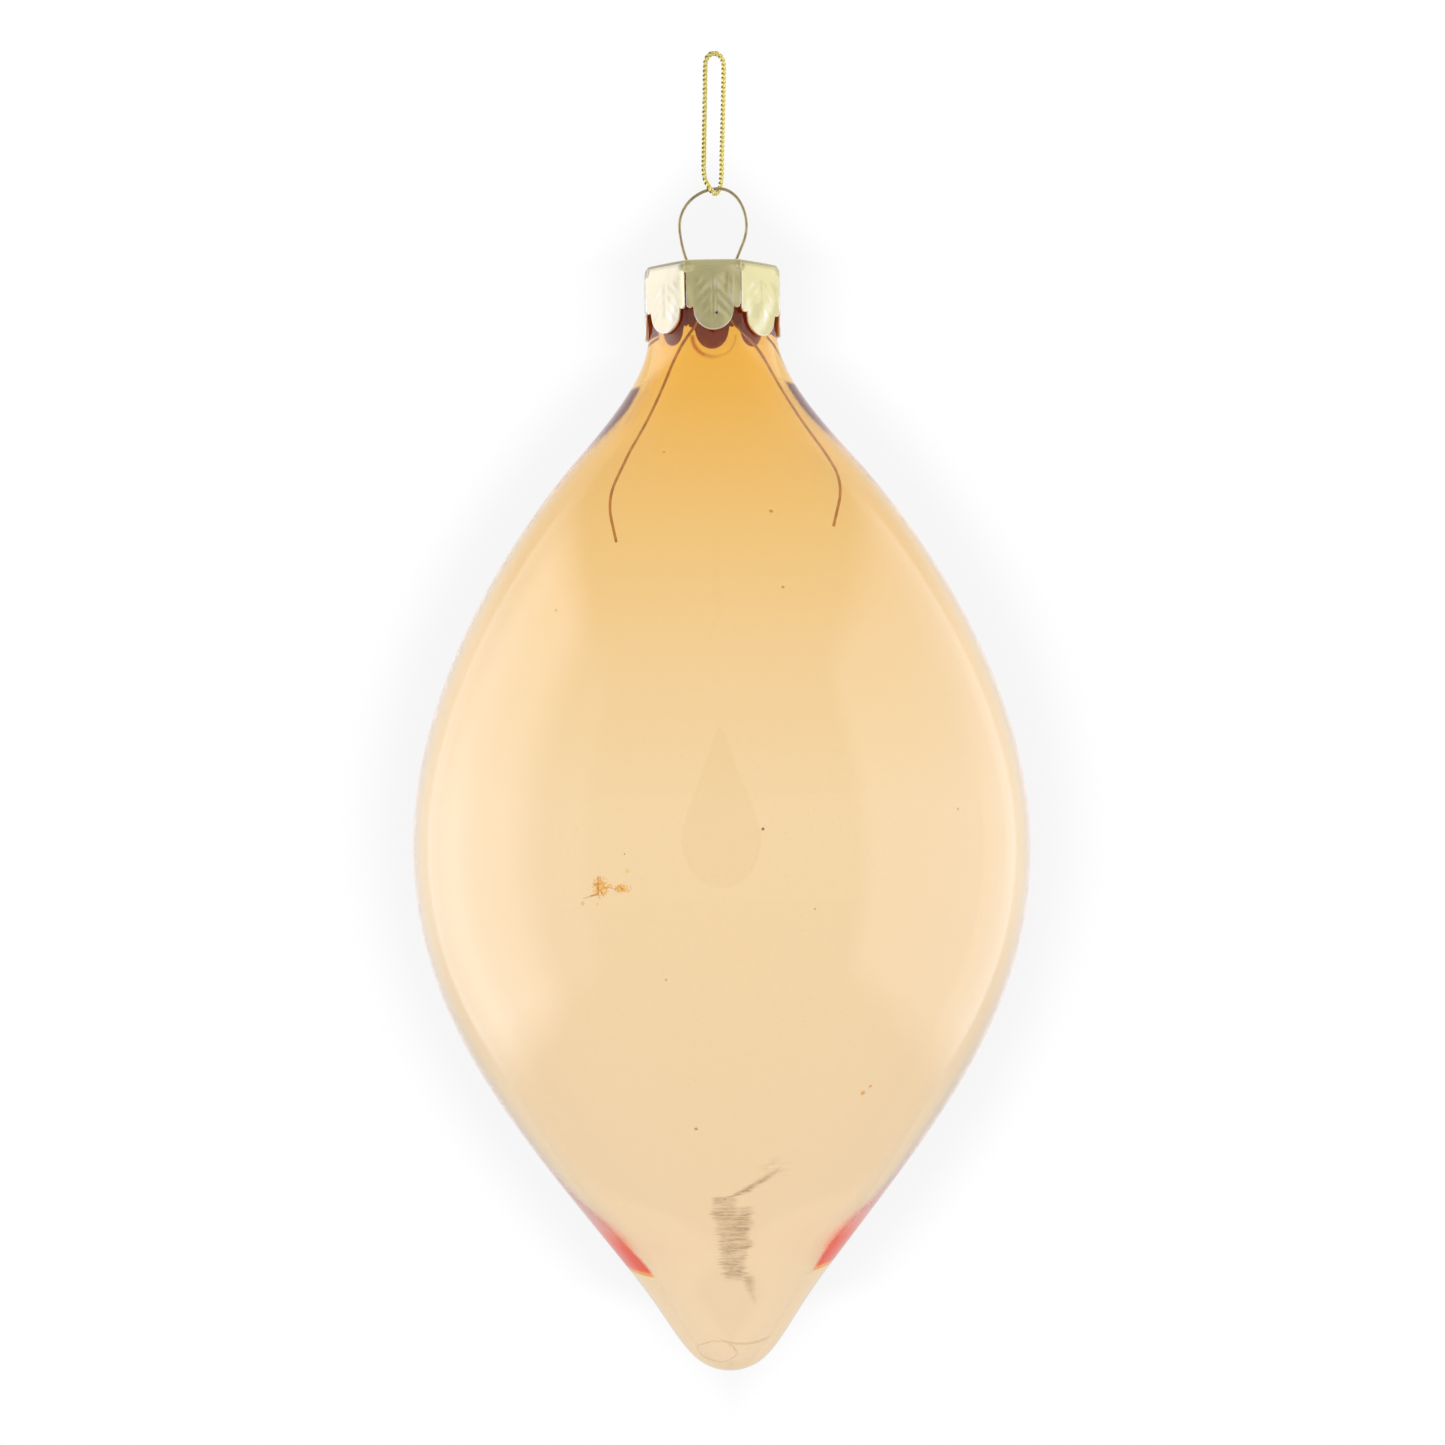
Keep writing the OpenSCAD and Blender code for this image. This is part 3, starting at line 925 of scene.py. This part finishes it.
def cap_sheet(sizes):
    """The outside of the cap as one sheet of points, a value for each point that the finish turns
    into painted shade and highlight (its relief, raised along the petals' edges low on the skirt
    and lowered in the dents), and its faces.
    """
    cap, at = sizes.cap, levels(sizes)
    flat = sizes.drop.neck_diameter / 2 + cap.play + cap.thickness
    top = at["cap_top"]
    slit_z = top - cap.slit_drop
    half = flat * math.tan(math.pi / cap.petals)
    columns, rows, bends = 48, 34, 12
    bulge, bright = 0.2, 0.1
    rim_width, rim_drop = 0.07 * MM, 3.2 * MM
    dent_drop, dent_size = 0.72 * MM, 0.42 * MM
    points, heights, faces = [], [], []

    def add(out, side, z, middle, relief):
        """Adds a point at a distance out from the axis and aside from a petal's middle."""
        reach = math.hypot(out, side)
        local = math.atan2(side, out)
        reach *= math.cos(local) ** bulge
        turn = middle + local
        points.append(Vector((reach * math.cos(turn), reach * math.sin(turn), z)))
        heights.append(relief)
        return len(points) - 1

    rings = []
    profile = [(0.0, slit_z + (top - cap.edge - slit_z) * i / 12) for i in range(1, 13)]
    for i in range(1, bends + 1):
        a = math.pi / 2 * i / bends
        profile.append((cap.edge * (1 - math.cos(a)), top - cap.edge * (1 - math.sin(a))))
    for share in (0.12, 0.3, 0.5, 0.7, 0.88):
        profile.append((cap.edge + (flat - cap.edge) * share, top))
    for index in range(cap.petals):
        middle = -math.pi / 2 + cap.turn + index * 2 * math.pi / cap.petals
        left = half - (cap.open_slit if index == 0 else cap.slit_width) / 2
        right = half - (cap.open_slit if index == cap.petals - 1 else cap.slit_width) / 2
        sides = []
        for j in range(columns + 1):
            share = math.sin(math.pi / 2 * (2 * j / columns - 1))
            sides.append(share * (right if share > 0 else left))
        below = []
        for side in sides:
            low = petal_low(cap, side, half, top - cap.height - petal_length(index))
            low = min(low, top - cap.height + cap.scallop_height)
            strip = []
            for k in range(rows + 1):
                z = slit_z + (low - slit_z) * k / rows
                relief = pressed_leaf(index, side, z, top)
                fade = min(1.0, k / 6)
                out = flat + relief * MM * fade
                # Painted highlight: points along a petal's edges, low on the skirt, get a raised
                # value; every other point gets its relief, which becomes painted shade or
                # highlight.
                rim = k == rows or min(side + left, right - side) < rim_width
                painted_light = bright if rim and z < top - rim_drop else relief * fade
                strip.append(add(out, side, z, middle, painted_light))
            below.append(strip)
        for here, beside in zip(below, below[1:]):
            for k in range(rows):
                faces.append((here[k], here[k + 1], beside[k + 1], beside[k]))
        for number, side in enumerate(sides + [half]):
            last = number > columns
            column = [add(flat, side, slit_z, middle, 0.0) if last else below[number][0]]
            from_corner = half - abs(side)
            for inward, z in profile:
                share = (flat - inward) / flat
                near = math.hypot(from_corner * 0.85, z - (top - dent_drop)) / dent_size
                dent = cap.dent * math.exp(-near * near) if inward < flat * 0.3 else 0.0
                aside = side * share * (1 - dent / flat)
                # Painted shade: a dent's depth is also stored as a lowered value, which darkens it.
                column.append(add(flat - inward - dent, aside, z, middle, -dent / MM * 0.5))
            rings.append(column)
    centre = len(points)
    points.append(Vector((0, 0, top)))
    heights.append(0.0)
    for i, column in enumerate(rings):
        following = rings[(i + 1) % len(rings)]
        for a, b, c, d in zip(column, column[1:], following[1:], following):
            faces.append((a, d, c, b))
        faces.append((column[-1], following[-1], centre))
    return points, heights, faces


def gilt_finish(cap):
    """The lacquered outside of the cap, with painted shade and highlight: darker in its pressed
    hollows, dents, a pit, a nick and under the top, paler on its ridges and edges, and a washed-out
    tone on the left petals.
    """
    finish = Finish("gold_cap")
    point, (x, _, z) = finish.place()
    relief = finish.node("Attribute", {"attribute_name": "relief"}, output="Fac")
    cloud = finish.noise(point, 300, 2, 0.5)
    fine = finish.noise(finish.stretched(point, (1, 1, 0.2)), 2200, 2, 0.5)
    metal = tuple(cap.metal)
    deep = tuple(value * 0.80 for value in metal)
    pale = tuple(1 - (1 - value) * 0.72 for value in metal)
    dim = tuple(value * 0.94 for value in metal)
    tone = finish.blend(finish.step(cloud, 0.3, 0.7), metal, dim)
    # Painted shade and highlight: darker where the relief is pressed in and in the dents, paler on
    # the ridges, near white along the petals' edges.
    tone = finish.blend(finish.step(relief, -0.008, -0.035) * 0.8, tone, deep)
    tone = finish.blend(finish.step(relief, 0.010, 0.035) * 0.8, tone, pale)
    tone = finish.blend(finish.step(relief, 0.045, 0.085), tone, (1.0, 0.92, 0.82))
    # Painted shade: near-black spots stand for the shade in a pit and a nick that the mesh doesn't
    # have.
    pit_painted_shade = finish.spot((0.42, -6.7, -13.32), 0.17)
    nick_painted_shade = finish.spot((5.95, -3.0, -9.62), 0.3)
    dark = finish.most(pit_painted_shade, nick_painted_shade * 0.8)
    tone = finish.blend(dark, tone, (0.05, 0.04, 0.02))
    # Painted highlight: the petals on the left, which face the bright left panel, are tinted less
    # yellow and bluer, as a washed-out highlight.
    left_petals_painted_glare = 1 - finish.step(x, -0.0032, -0.0027)
    tone = finish.blend(left_petals_painted_glare, tone, (0.82, 0.815, 1.18), "MULTIPLY")
    # Painted shade: a darker band round the rounded top edge.
    painted_shade_under_top = finish.between(z, -0.00878, -0.00855, -0.00825, -0.00805)
    tone = finish.blend(painted_shade_under_top, tone, (0.80, 0.79, 0.80), "MULTIPLY")
    rough = 0.2 + fine * 0.1 + dark * 0.3
    bump = finish.bump(cloud, 0.12, 0.02)
    return finish.surface(
        finish.principled(Base_Color=tone, Metallic=0.45, Roughness=rough, Normal=bump)
    )


def lining_finish():
    """The dull inside of the cap, in painted shade: a dark reddish brown, darker in patches, as the
    inside looks in shade behind the amber glass.
    """
    finish = Finish("gold_cap_inside")
    stain = finish.noise(finish.place()[0], 700, 3, 0.6)
    tone = finish.blend(stain, (0.66, 0.22, 0.06), (0.40, 0.10, 0.025))
    return finish.surface(finish.principled(Base_Color=tone, Metallic=0.25, Roughness=0.5))


def rim_finish():
    """The bright cut edge of the cap's metal."""
    finish = Finish("gold_cap_edge")
    wear = finish.noise(finish.place()[0], 1500, 2, 0.5)
    tone = finish.blend(wear, (0.97, 0.84, 0.78), (0.88, 0.74, 0.60))
    return finish.surface(finish.principled(Base_Color=tone, Metallic=0.8, Roughness=0.35))


class ORNAMENT_OT_cap(bpy.types.Operator):
    """Presses the cap: eight petals, their scallops, dents and leaf relief"""

    bl_idname = "ornament.cap"
    bl_label = "Petalled Cap"

    def execute(self, context):
        sizes = context.scene.ornament
        cap = sizes.cap
        points, heights, faces = cap_sheet(sizes)
        finishes = [gilt_finish(cap), lining_finish(), rim_finish()]
        piece = add_piece("petalled_cap", points, faces, finishes, "cap")
        # The relief values carry the painted shade and highlight of the outside.
        layer = piece.data.attributes.new("relief", "FLOAT", "POINT")
        layer.data.foreach_set("value", heights)
        face_outwards(piece.data, 0.002 * MM)
        plate = piece.modifiers.new("plate", "SOLIDIFY")
        plate.thickness = cap.thickness
        plate.offset = -1
        plate.material_offset = 1
        plate.material_offset_rim = 2
        cutters = []
        for side in (-1, 1):
            bpy.ops.mesh.primitive_cylinder_add(
                radius=sizes.wire.hole_size / 2,
                depth=0.003,
                location=(side * sizes.wire.hole_gap / 2, 0, levels(sizes)["cap_top"]),
            )
            cutter = context.active_object
            hole = piece.modifiers.new("wire_hole", "BOOLEAN")
            hole.operation = "DIFFERENCE"
            hole.solver = "EXACT"
            hole.object = cutter
            cutters.append(cutter)
        settled = piece.evaluated_get(context.evaluated_depsgraph_get())
        pressed = bpy.data.meshes.new_from_object(settled)
        piece.modifiers.clear()
        piece.data = pressed
        for cutter in cutters:
            bpy.data.objects.remove(cutter)
        return {"FINISHED"}


# Glass


def both_walls(tint, share=0.5):
    """What one pass of a wall keeps, where both walls together keep a tint."""
    return tuple(value ** share for value in tint)


def by_height(finish, low, high, stops):
    """A colour that changes with height. Each stop is (height in mm, colour)."""
    z = finish.place()[1][2]
    span_of_heights = {"Value": z, "From Min": low * MM, "From Max": high * MM}
    share = finish.node("MapRange", None, span_of_heights)
    placed = [((height - low) / (high - low), colour) for height, colour in stops]
    return finish.node("ValToRGB", {"stops": sorted(placed)}, {"Fac": share})


def glass_tint(finish, drop):
    """The amber of one wall, deep at the neck and pale at the tip."""
    neck, middle, tip = (
        Vector(both_walls(tint)) for tint in (drop.neck_tint, drop.middle_tint, drop.tip_tint)
    )
    stops = [
        (-118, Vector((0.965, 0.84, 0.68))),
        (-100, tip),
        (-82, tip.lerp(middle, 0.55)),
        (-62, middle),
        (-45, middle.lerp(neck, 0.22)),
        (-31, middle.lerp(neck, 0.58)),
        (-19, neck),
        (-8, neck),
    ]
    return by_height(finish, -118, -8, [(height, tuple(tint)) for height, tint in stops])


def scratch(finish, start, end, width):
    """1 along a straight scratch between two points (x and z, in mm)."""
    x, _, z = finish.place()[1]
    run = Vector(end) - Vector(start)
    ux, uz = run.normalized()
    x, z = x - start[0] * MM, z - start[1] * MM
    along, across = x * ux + z * uz, abs(x * uz - z * ux)
    wide, reach = width * MM, run.length * MM
    whole = 1 - finish.step(across, wide * 0.35, wide)
    return whole * finish.between(along, -wide, wide, reach - wide, reach + wide)


def blister(finish, tint):
    """The crackled patch of lacquer on the left of the belly."""
    point, (_, y, _) = finish.place()
    cells = finish.noise(point, 4200, 2, 0.75)
    broad = finish.noise(point, 1500, 2, 0.6)
    cracks = abs(finish.noise(point, 2600, 2, 0.7) - 0.5)
    left = finish.spot((-10.85, -28.5, -67.65), 1.25, 0.95, (1, 0.3, 0.8))
    right = finish.spot((-8.85, -29.2, -67.8), 1.25, 0.95, (1, 0.3, 1.7))
    patch = finish.most(left, right)
    patch = finish.most(patch, finish.spot((-9.9, -29, -67.6), 1.0, 0.9, (0.8, 0.3, 2.4)) * 0.6)
    patch = patch * (y < 0)
    worn = patch + (broad - 0.5)
    tint = finish.blend(finish.step(worn, 0.1, 0.6) * 0.4, tint, (1.0, 0.92, 0.78))
    flakes = finish.step(patch * 0.9 + (cells - 0.5) * 2.6, 0.46, 0.66)
    tint = finish.blend(flakes * 0.9, tint, (1.0, 0.46, 0.004))
    lines = finish.step(worn, 0.3, 0.5) * (1 - finish.step(cracks, 0.012, 0.045))
    tint = finish.blend(lines * 0.85, tint, (0.52, 0.15, 0.001))
    for start, end, width, tone in (
        ((-11.03, -66.75), (-11.0, -68.3), 0.12, 0.75),
        ((-11.0, -68.29), (-11.75, -68.5), 0.13, 0.9),
        ((-11.7, -68.5), (-12.4, -68.72), 0.07, 0.6),
        ((-11.0, -67.7), (-10.5, -68.5), 0.11, 0.7),
        ((-11.45, -67.45), (-10.5, -67.4), 0.10, 0.6),
        ((-10.4, -67.6), (-9.3, -67.9), 0.09, 0.5),
        ((-9.1, -67.5), (-8.7, -68.1), 0.12, 0.55),
    ):
        mark = scratch(finish, start, end, width) * tone * (y < 0)
        tint = finish.blend(mark * finish.step(cells, 0.3, 0.45), tint, (0.40, 0.10, 0.001))
    for centre, radius, tone in (
        ((-12.45, -27.9, -69.15), 0.3, (0.75, 0.38, 0.08)),
        ((-11.1, -28.5, -69.2), 0.24, (0.85, 0.62, 0.25)),
        ((-8.35, -29.5, -66.25), 0.32, (0.85, 0.62, 0.16)),
        ((-8.0, -29.5, -66.0), 0.18, (0.85, 0.62, 0.16)),
        ((-12.8, -28.2, -63.9), 0.24, (0.88, 0.68, 0.26)),
        ((-12.55, -28.2, -63.6), 0.2, (0.88, 0.68, 0.26)),
        ((-11.05, -28.5, -66.65), 0.2, (0.6, 0.32, 0.08)),
    ):
        fleck = finish.step(finish.spot(centre, radius, 0.9) + (cells - 0.5), 0.3, 0.6)
        tint = finish.blend(fleck * (y < 0) * 0.8, tint, tone)
    return tint


def smear(finish, tint):
    """The scratchy brown smear above the tip, and the stroke that leads into it."""
    point, (x, y, z) = finish.place()
    layered = finish.stretched(point, (0, 0, 1))
    drift = finish.noise(layered, 520, 2, 0.5) - 0.5
    ends = finish.noise(layered, 3100, 3, 0.7) - 0.5
    long_ends = finish.noise(layered, 900, 2, 0.5) - 0.5
    lines = finish.noise(finish.stretched(point, (0.10, 0, 1), (0, 0, 0.031)), 3000, 4, 0.75)
    fray = finish.noise(finish.stretched(point, (0.3, 0, 1)), 2600, 2, 0.6) - 0.5
    blotch = finish.noise(point, 800, 2, 0.5)

    across = abs(x - 0.00050 - drift * 0.0016) + ends * 0.0024 + long_ends * 0.0014
    wide = 0.00090 + (z + 0.1067) * 0.12
    band = 1 - finish.step(across - wide, -0.0004, 0.0004)
    band = band * finish.between(z, -0.1070, -0.1064, -0.0987, -0.0984)
    dash = finish.step(x, -0.0017, -0.0011) * (1 - finish.step(x + ends * 0.002, 0.0002, 0.0012))
    dash = dash * finish.between(z, -0.0987, -0.0983, -0.0976, -0.0973)
    whole = finish.most(band, dash * 0.9) * (0.42 + finish.step(lines, 0.40, 0.60) * 0.58)

    run = x + 0.0010
    rise = z + 0.0979 - run * 0.33 - run * run * 40
    full = finish.between(x, 0.0004, 0.0024, 0.0034, 0.0055)
    stroke = 1 - finish.step(abs(rise + fray * 0.0006), 0.00006, 0.00026 + full * 0.00034)
    stroke = stroke * finish.between(x, -0.0014, -0.0002, 0.0030, 0.0060)
    whole = finish.most(whole, stroke * (0.6 + finish.step(fray, -0.1, 0.1) * 0.4))
    haze = finish.spot((4.4, -20, -94.6), 2.2, 0.95, (1, 0.1, 1.2)) * finish.step(fray, -0.1, 0.12)
    whole = finish.most(whole, haze * 0.28)

    sunk = -0.1067 - z
    middle = x - 0.0017 - sunk * 0.30 - drift * 0.001
    tail = 1 - finish.step(abs(middle) + ends * 0.0012 + sunk * 0.2, 0.0001, 0.0009)
    tail = tail * finish.between(z, -0.1112, -0.1080, -0.1066, -0.1060)
    whole = finish.most(whole, tail * 0.7) * (0.62 + finish.step(blotch, 0.3, 0.6) * 0.38)
    return finish.blend(whole * (y < -0.002), tint, (0.33, 0.21, 0.115))


def pad_mark(finish, tint):
    """The faint curl where the tip was sealed."""
    point, (x, y, z) = finish.place()
    aside, up = (x + 0.0013) / 0.0019, (z + 0.1150) / 0.00125
    wander = finish.noise(point, 700, 2, 0.5) - 0.5
    loop = abs((aside * aside + up * up) ** 0.5 - 1 + wander * 0.5)
    line = (1 - finish.step(loop, 0.03, 0.11)) * (0.55 + finish.step(wander, -0.1, 0.2) * 0.45)
    run = x - 0.0016
    edge = 1 - finish.step(abs(z + 0.11412 - run * run * 75), 0.00005, 0.00022)
    line = finish.most(line, edge * finish.between(x, -0.0012, -0.0006, 0.0030, 0.0044))
    flecks = finish.step(finish.noise(point, 2600, 2, 0.6), 0.5, 0.62)
    flecks = flecks * finish.spot((-1.9, -4, -116.2), 0.9, 0.8, (1, 0.3, 2))
    mark = finish.most(line * 0.5, flecks * 0.45) * (y < -0.001)
    return finish.blend(mark, tint, (0.42, 0.28, 0.14))


def mouth_mark(finish, tint):
    """The brown arc of lacquer that gathered under the neck's mouth."""
    point, (x, y, z) = finish.place()
    aside, up = x - 0.00011, z + 0.01558
    away = abs((aside * aside + up * up) ** 0.5 - 0.0021)
    wander = finish.noise(point, 500, 2, 0.5)
    left = 1 - finish.step(x, 0.0, 0.0012)
    line = 1 - finish.step(away, 0.00003, 0.00020 + left * 0.00016)
    line = line * (left * 0.55 + finish.step(wander, 0.3, 0.5) * 0.4)
    return finish.blend(line * (z < -0.0154) * (y < 0), tint, (0.42, 0.065, 0.002))


def glass_marks(finish, tint):
    """The faults of the lacquer on the front. The small ones are specks."""
    for mark in (blister, smear, pad_mark, mouth_mark):
        tint = mark(finish, tint)
    for centre, radius, tone in (
        ((-14.91, -19.44, -42.6), 0.16, (0.45, 0.22, 0.03)),
        ((5.13, -18.46, -33.72), 0.26, (0.38, 0.18, 0.02)),
        ((6.01, -22.88, -41.02), 0.22, (0.5, 0.25, 0.05)),
        ((3.69, -30.36, -62.7), 0.2, (0.10, 0.05, 0.02)),
        ((-2.77, -22.53, -90.27), 0.24, (0.55, 0.14, 0.02)),
        ((-4.8, -13.56, -27.55), 0.18, (0.45, 0.25, 0.05)),
        ((12.59, -20.88, -87.49), 0.34, (0.75, 0.30, 0.04)),
        ((13.3, -20.85, -86.9), 0.24, (0.75, 0.30, 0.04)),
        ((21.72, -21.39, -61.55), 0.2, (0.7, 0.3, 0.05)),
        ((-5.12, -28.86, -76.0), 0.15, (0.6, 0.3, 0.08)),
        ((8.19, -29.34, -69.9), 0.15, (0.6, 0.35, 0.1)),
        ((-8.59, -29.5, -64.74), 0.13, (0.35, 0.25, 0.1)),
        ((-15.2, -13.6, -97.3), 0.16, (0.35, 0.22, 0.08)),
        ((-6.0, -15.8, -102.5), 0.15, (0.30, 0.18, 0.08)),
    ):
        tint = finish.blend(finish.spot(centre, radius, 0.6), tint, tone)
    return tint


def dipped_height(finish):
    """The height over the line, slightly tilted, to which the tip was left bare."""
    x, _, z = finish.place()[1]
    return z - x * 0.02


def edge_lacquer_painted_light(finish):
    """The lacquer where the wall is seen on edge, with painted reflection: coral, mauve and dark
    bands near the dip line and the throat stand in for light that the wall bends and traps there.
    """
    height = dipped_height(finish)

    def lit(tone):
        behind = finish.node("BsdfTranslucent", None, {"Color": (*tone, 1)})
        return finish.mixed(0.75, behind, finish.clear(tone))

    def band(*heights):
        return finish.between(height, *(value * MM for value in heights))

    shader = lit((0.92, 0.80, 0.92))
    for tone, share in (
        ((0.72, 0.42, 0.52), band(-104, -100.5, -98.5, -92)),
        ((0.90, 0.10, 0.035), band(-108, -107.2, -104, -100)),
        ((1.0, 0.48, 0.06), band(-107.2, -106.9, -106.5, -106.1)),
        ((0.80, 0.50, 0.58), band(-34, -28, -24, -22)),
        ((0.19, 0.055, 0.10), band(-27, -24, -19, -18)),
    ):
        shader = finish.mixed(share, shader, lit(tone))
    # Painted light: within the lacquered band the edge shows straight through in pale amber, in
    # place of the dark the glass would give there.
    lacquered = band(-106.85, -106.65, -20.4, -19.9)
    return finish.mixed(lacquered, finish.clear((0.97, 0.91, 0.81)), shader)


def painted_edge_width(finish):
    """How far in from the limb the painted edge colour reaches: limits on Facing."""
    x, _, z = finish.place()[1]
    side = finish.step(x, -0.002, 0.002)
    low = 1 - finish.step(dipped_height(finish), -0.1072, -0.1069)
    bare = finish.step(z, -0.0199, -0.0194) + low
    tip = (1 - finish.step(z, -0.1074, -0.1025)) * (1 - low) * (0.028 - side * 0.018)
    throat = finish.between(z, -0.0262, -0.0225, -0.0228, -0.0206) * (0.007 - side * 0.004)
    limb = 0.25
    start = limb - tip - throat - bare * 0.036
    return start, start + 0.012 + bare * 0.024


def glass_finish(name, drop, outer):
    """Clear amber glass. Its inner side also shows the painted reflection of the lacquer where the
    wall is seen on edge.
    """
    finish = Finish(name)
    tint = glass_tint(finish, drop)
    if outer:
        tint = glass_marks(finish, tint)
    shader = finish.principled(Base_Color=tint, Roughness=0.0, IOR=1.5, Transmission_Weight=1.0)
    if not outer:
        within = finish.node("NewGeometry", output="Backfacing")
        facing = finish.node("LayerWeight", None, {"Blend": 0.5}, "Facing")
        # Painted reflection: seen from within the glass near the limb, the painted edge colours
        # replace the glass.
        edge = finish.step(facing, *painted_edge_width(finish)) * within
        shader = finish.mixed(edge, shader, edge_lacquer_painted_light(finish))
    lamps = finish.node("LightPath", output="Is Shadow Ray")
    clear = finish.clear(both_walls(drop.middle_tint, 0.25))
    return finish.surface(finish.mixed(lamps, shader, clear))


class ORNAMENT_OT_glass(bpy.types.Operator):
    """Blows the hollow drop: an outside, an inside and the gathered tip"""

    bl_idname = "ornament.glass"
    bl_label = "Glass Drop"

    def execute(self, context):
        sizes = context.scene.ornament
        outside, inside = drop_walls(sizes)
        path = outside[::-1] + inside
        segments = 192
        points, faces, rings = [], [], []
        for radius, z in path:
            if radius < 1e-7:
                rings.append([len(points)])
                points.append(Vector((0, 0, z)))
                continue
            rings.append([len(points) + j for j in range(segments)])
            for j in range(segments):
                a = 2 * math.pi * j / segments
                points.append(Vector((radius * math.cos(a), radius * math.sin(a), z)))
        inner = []
        for i, (lower, upper) in enumerate(zip(rings, rings[1:])):
            for j in range(segments):
                k = (j + 1) % segments
                if len(lower) == 1:
                    faces.append((lower[0], upper[k], upper[j]))
                elif len(upper) == 1:
                    faces.append((lower[j], lower[k], upper[0]))
                else:
                    faces.append((lower[j], lower[k], upper[k], upper[j]))
                inner.append(int(i >= len(outside) - 1))
        finishes = [
            glass_finish("amber_glass_outside", sizes.drop, True),
            glass_finish("amber_glass_inside", sizes.drop, False),
        ]
        piece = add_piece("blown_glass_drop", points, faces, finishes, "glass_bulb")
        piece.data.polygons.foreach_set("material_index", inner)
        face_outwards(piece.data)
        return {"FINISHED"}


class ORNAMENT_PT_sidebar(bpy.types.Panel):
    """Lists the steps that make the ornament"""

    bl_label = "Glass Teardrop Ornament"
    bl_idname = "ORNAMENT_PT_sidebar"
    bl_space_type = "VIEW_3D"
    bl_region_type = "UI"
    bl_category = "Ornament"

    def draw(self, context):
        for step in STEPS:
            self.layout.operator(step.bl_idname)
        for name in ("drop", "cap", "wire", "cord", "studio"):
            group = getattr(context.scene.ornament, name)
            box = self.layout.box()
            box.label(text=group.bl_rna.name)
            for size in group.__annotations__:
                box.prop(group, size)


STEPS = (
    ORNAMENT_OT_stage,
    ORNAMENT_OT_cord,
    ORNAMENT_OT_hanger,
    ORNAMENT_OT_cap,
    ORNAMENT_OT_glass,
)
CLASSES = (
    GlassDrop,
    PetalCap,
    WireHanger,
    HangingCord,
    Studio,
    Ornament,
    *STEPS,
    ORNAMENT_PT_sidebar,
)


def register():
    for each in CLASSES:
        bpy.utils.register_class(each)
    bpy.types.Scene.ornament = PointerProperty(type=Ornament)


def unregister():
    del bpy.types.Scene.ornament
    for each in reversed(CLASSES):
        bpy.utils.unregister_class(each)


def main():
    register()
    bpy.ops.ornament.stage()
    bpy.ops.ornament.cord()
    bpy.ops.ornament.hanger()
    bpy.ops.ornament.cap()
    bpy.ops.ornament.glass()


if __name__ == "__main__":
    main()
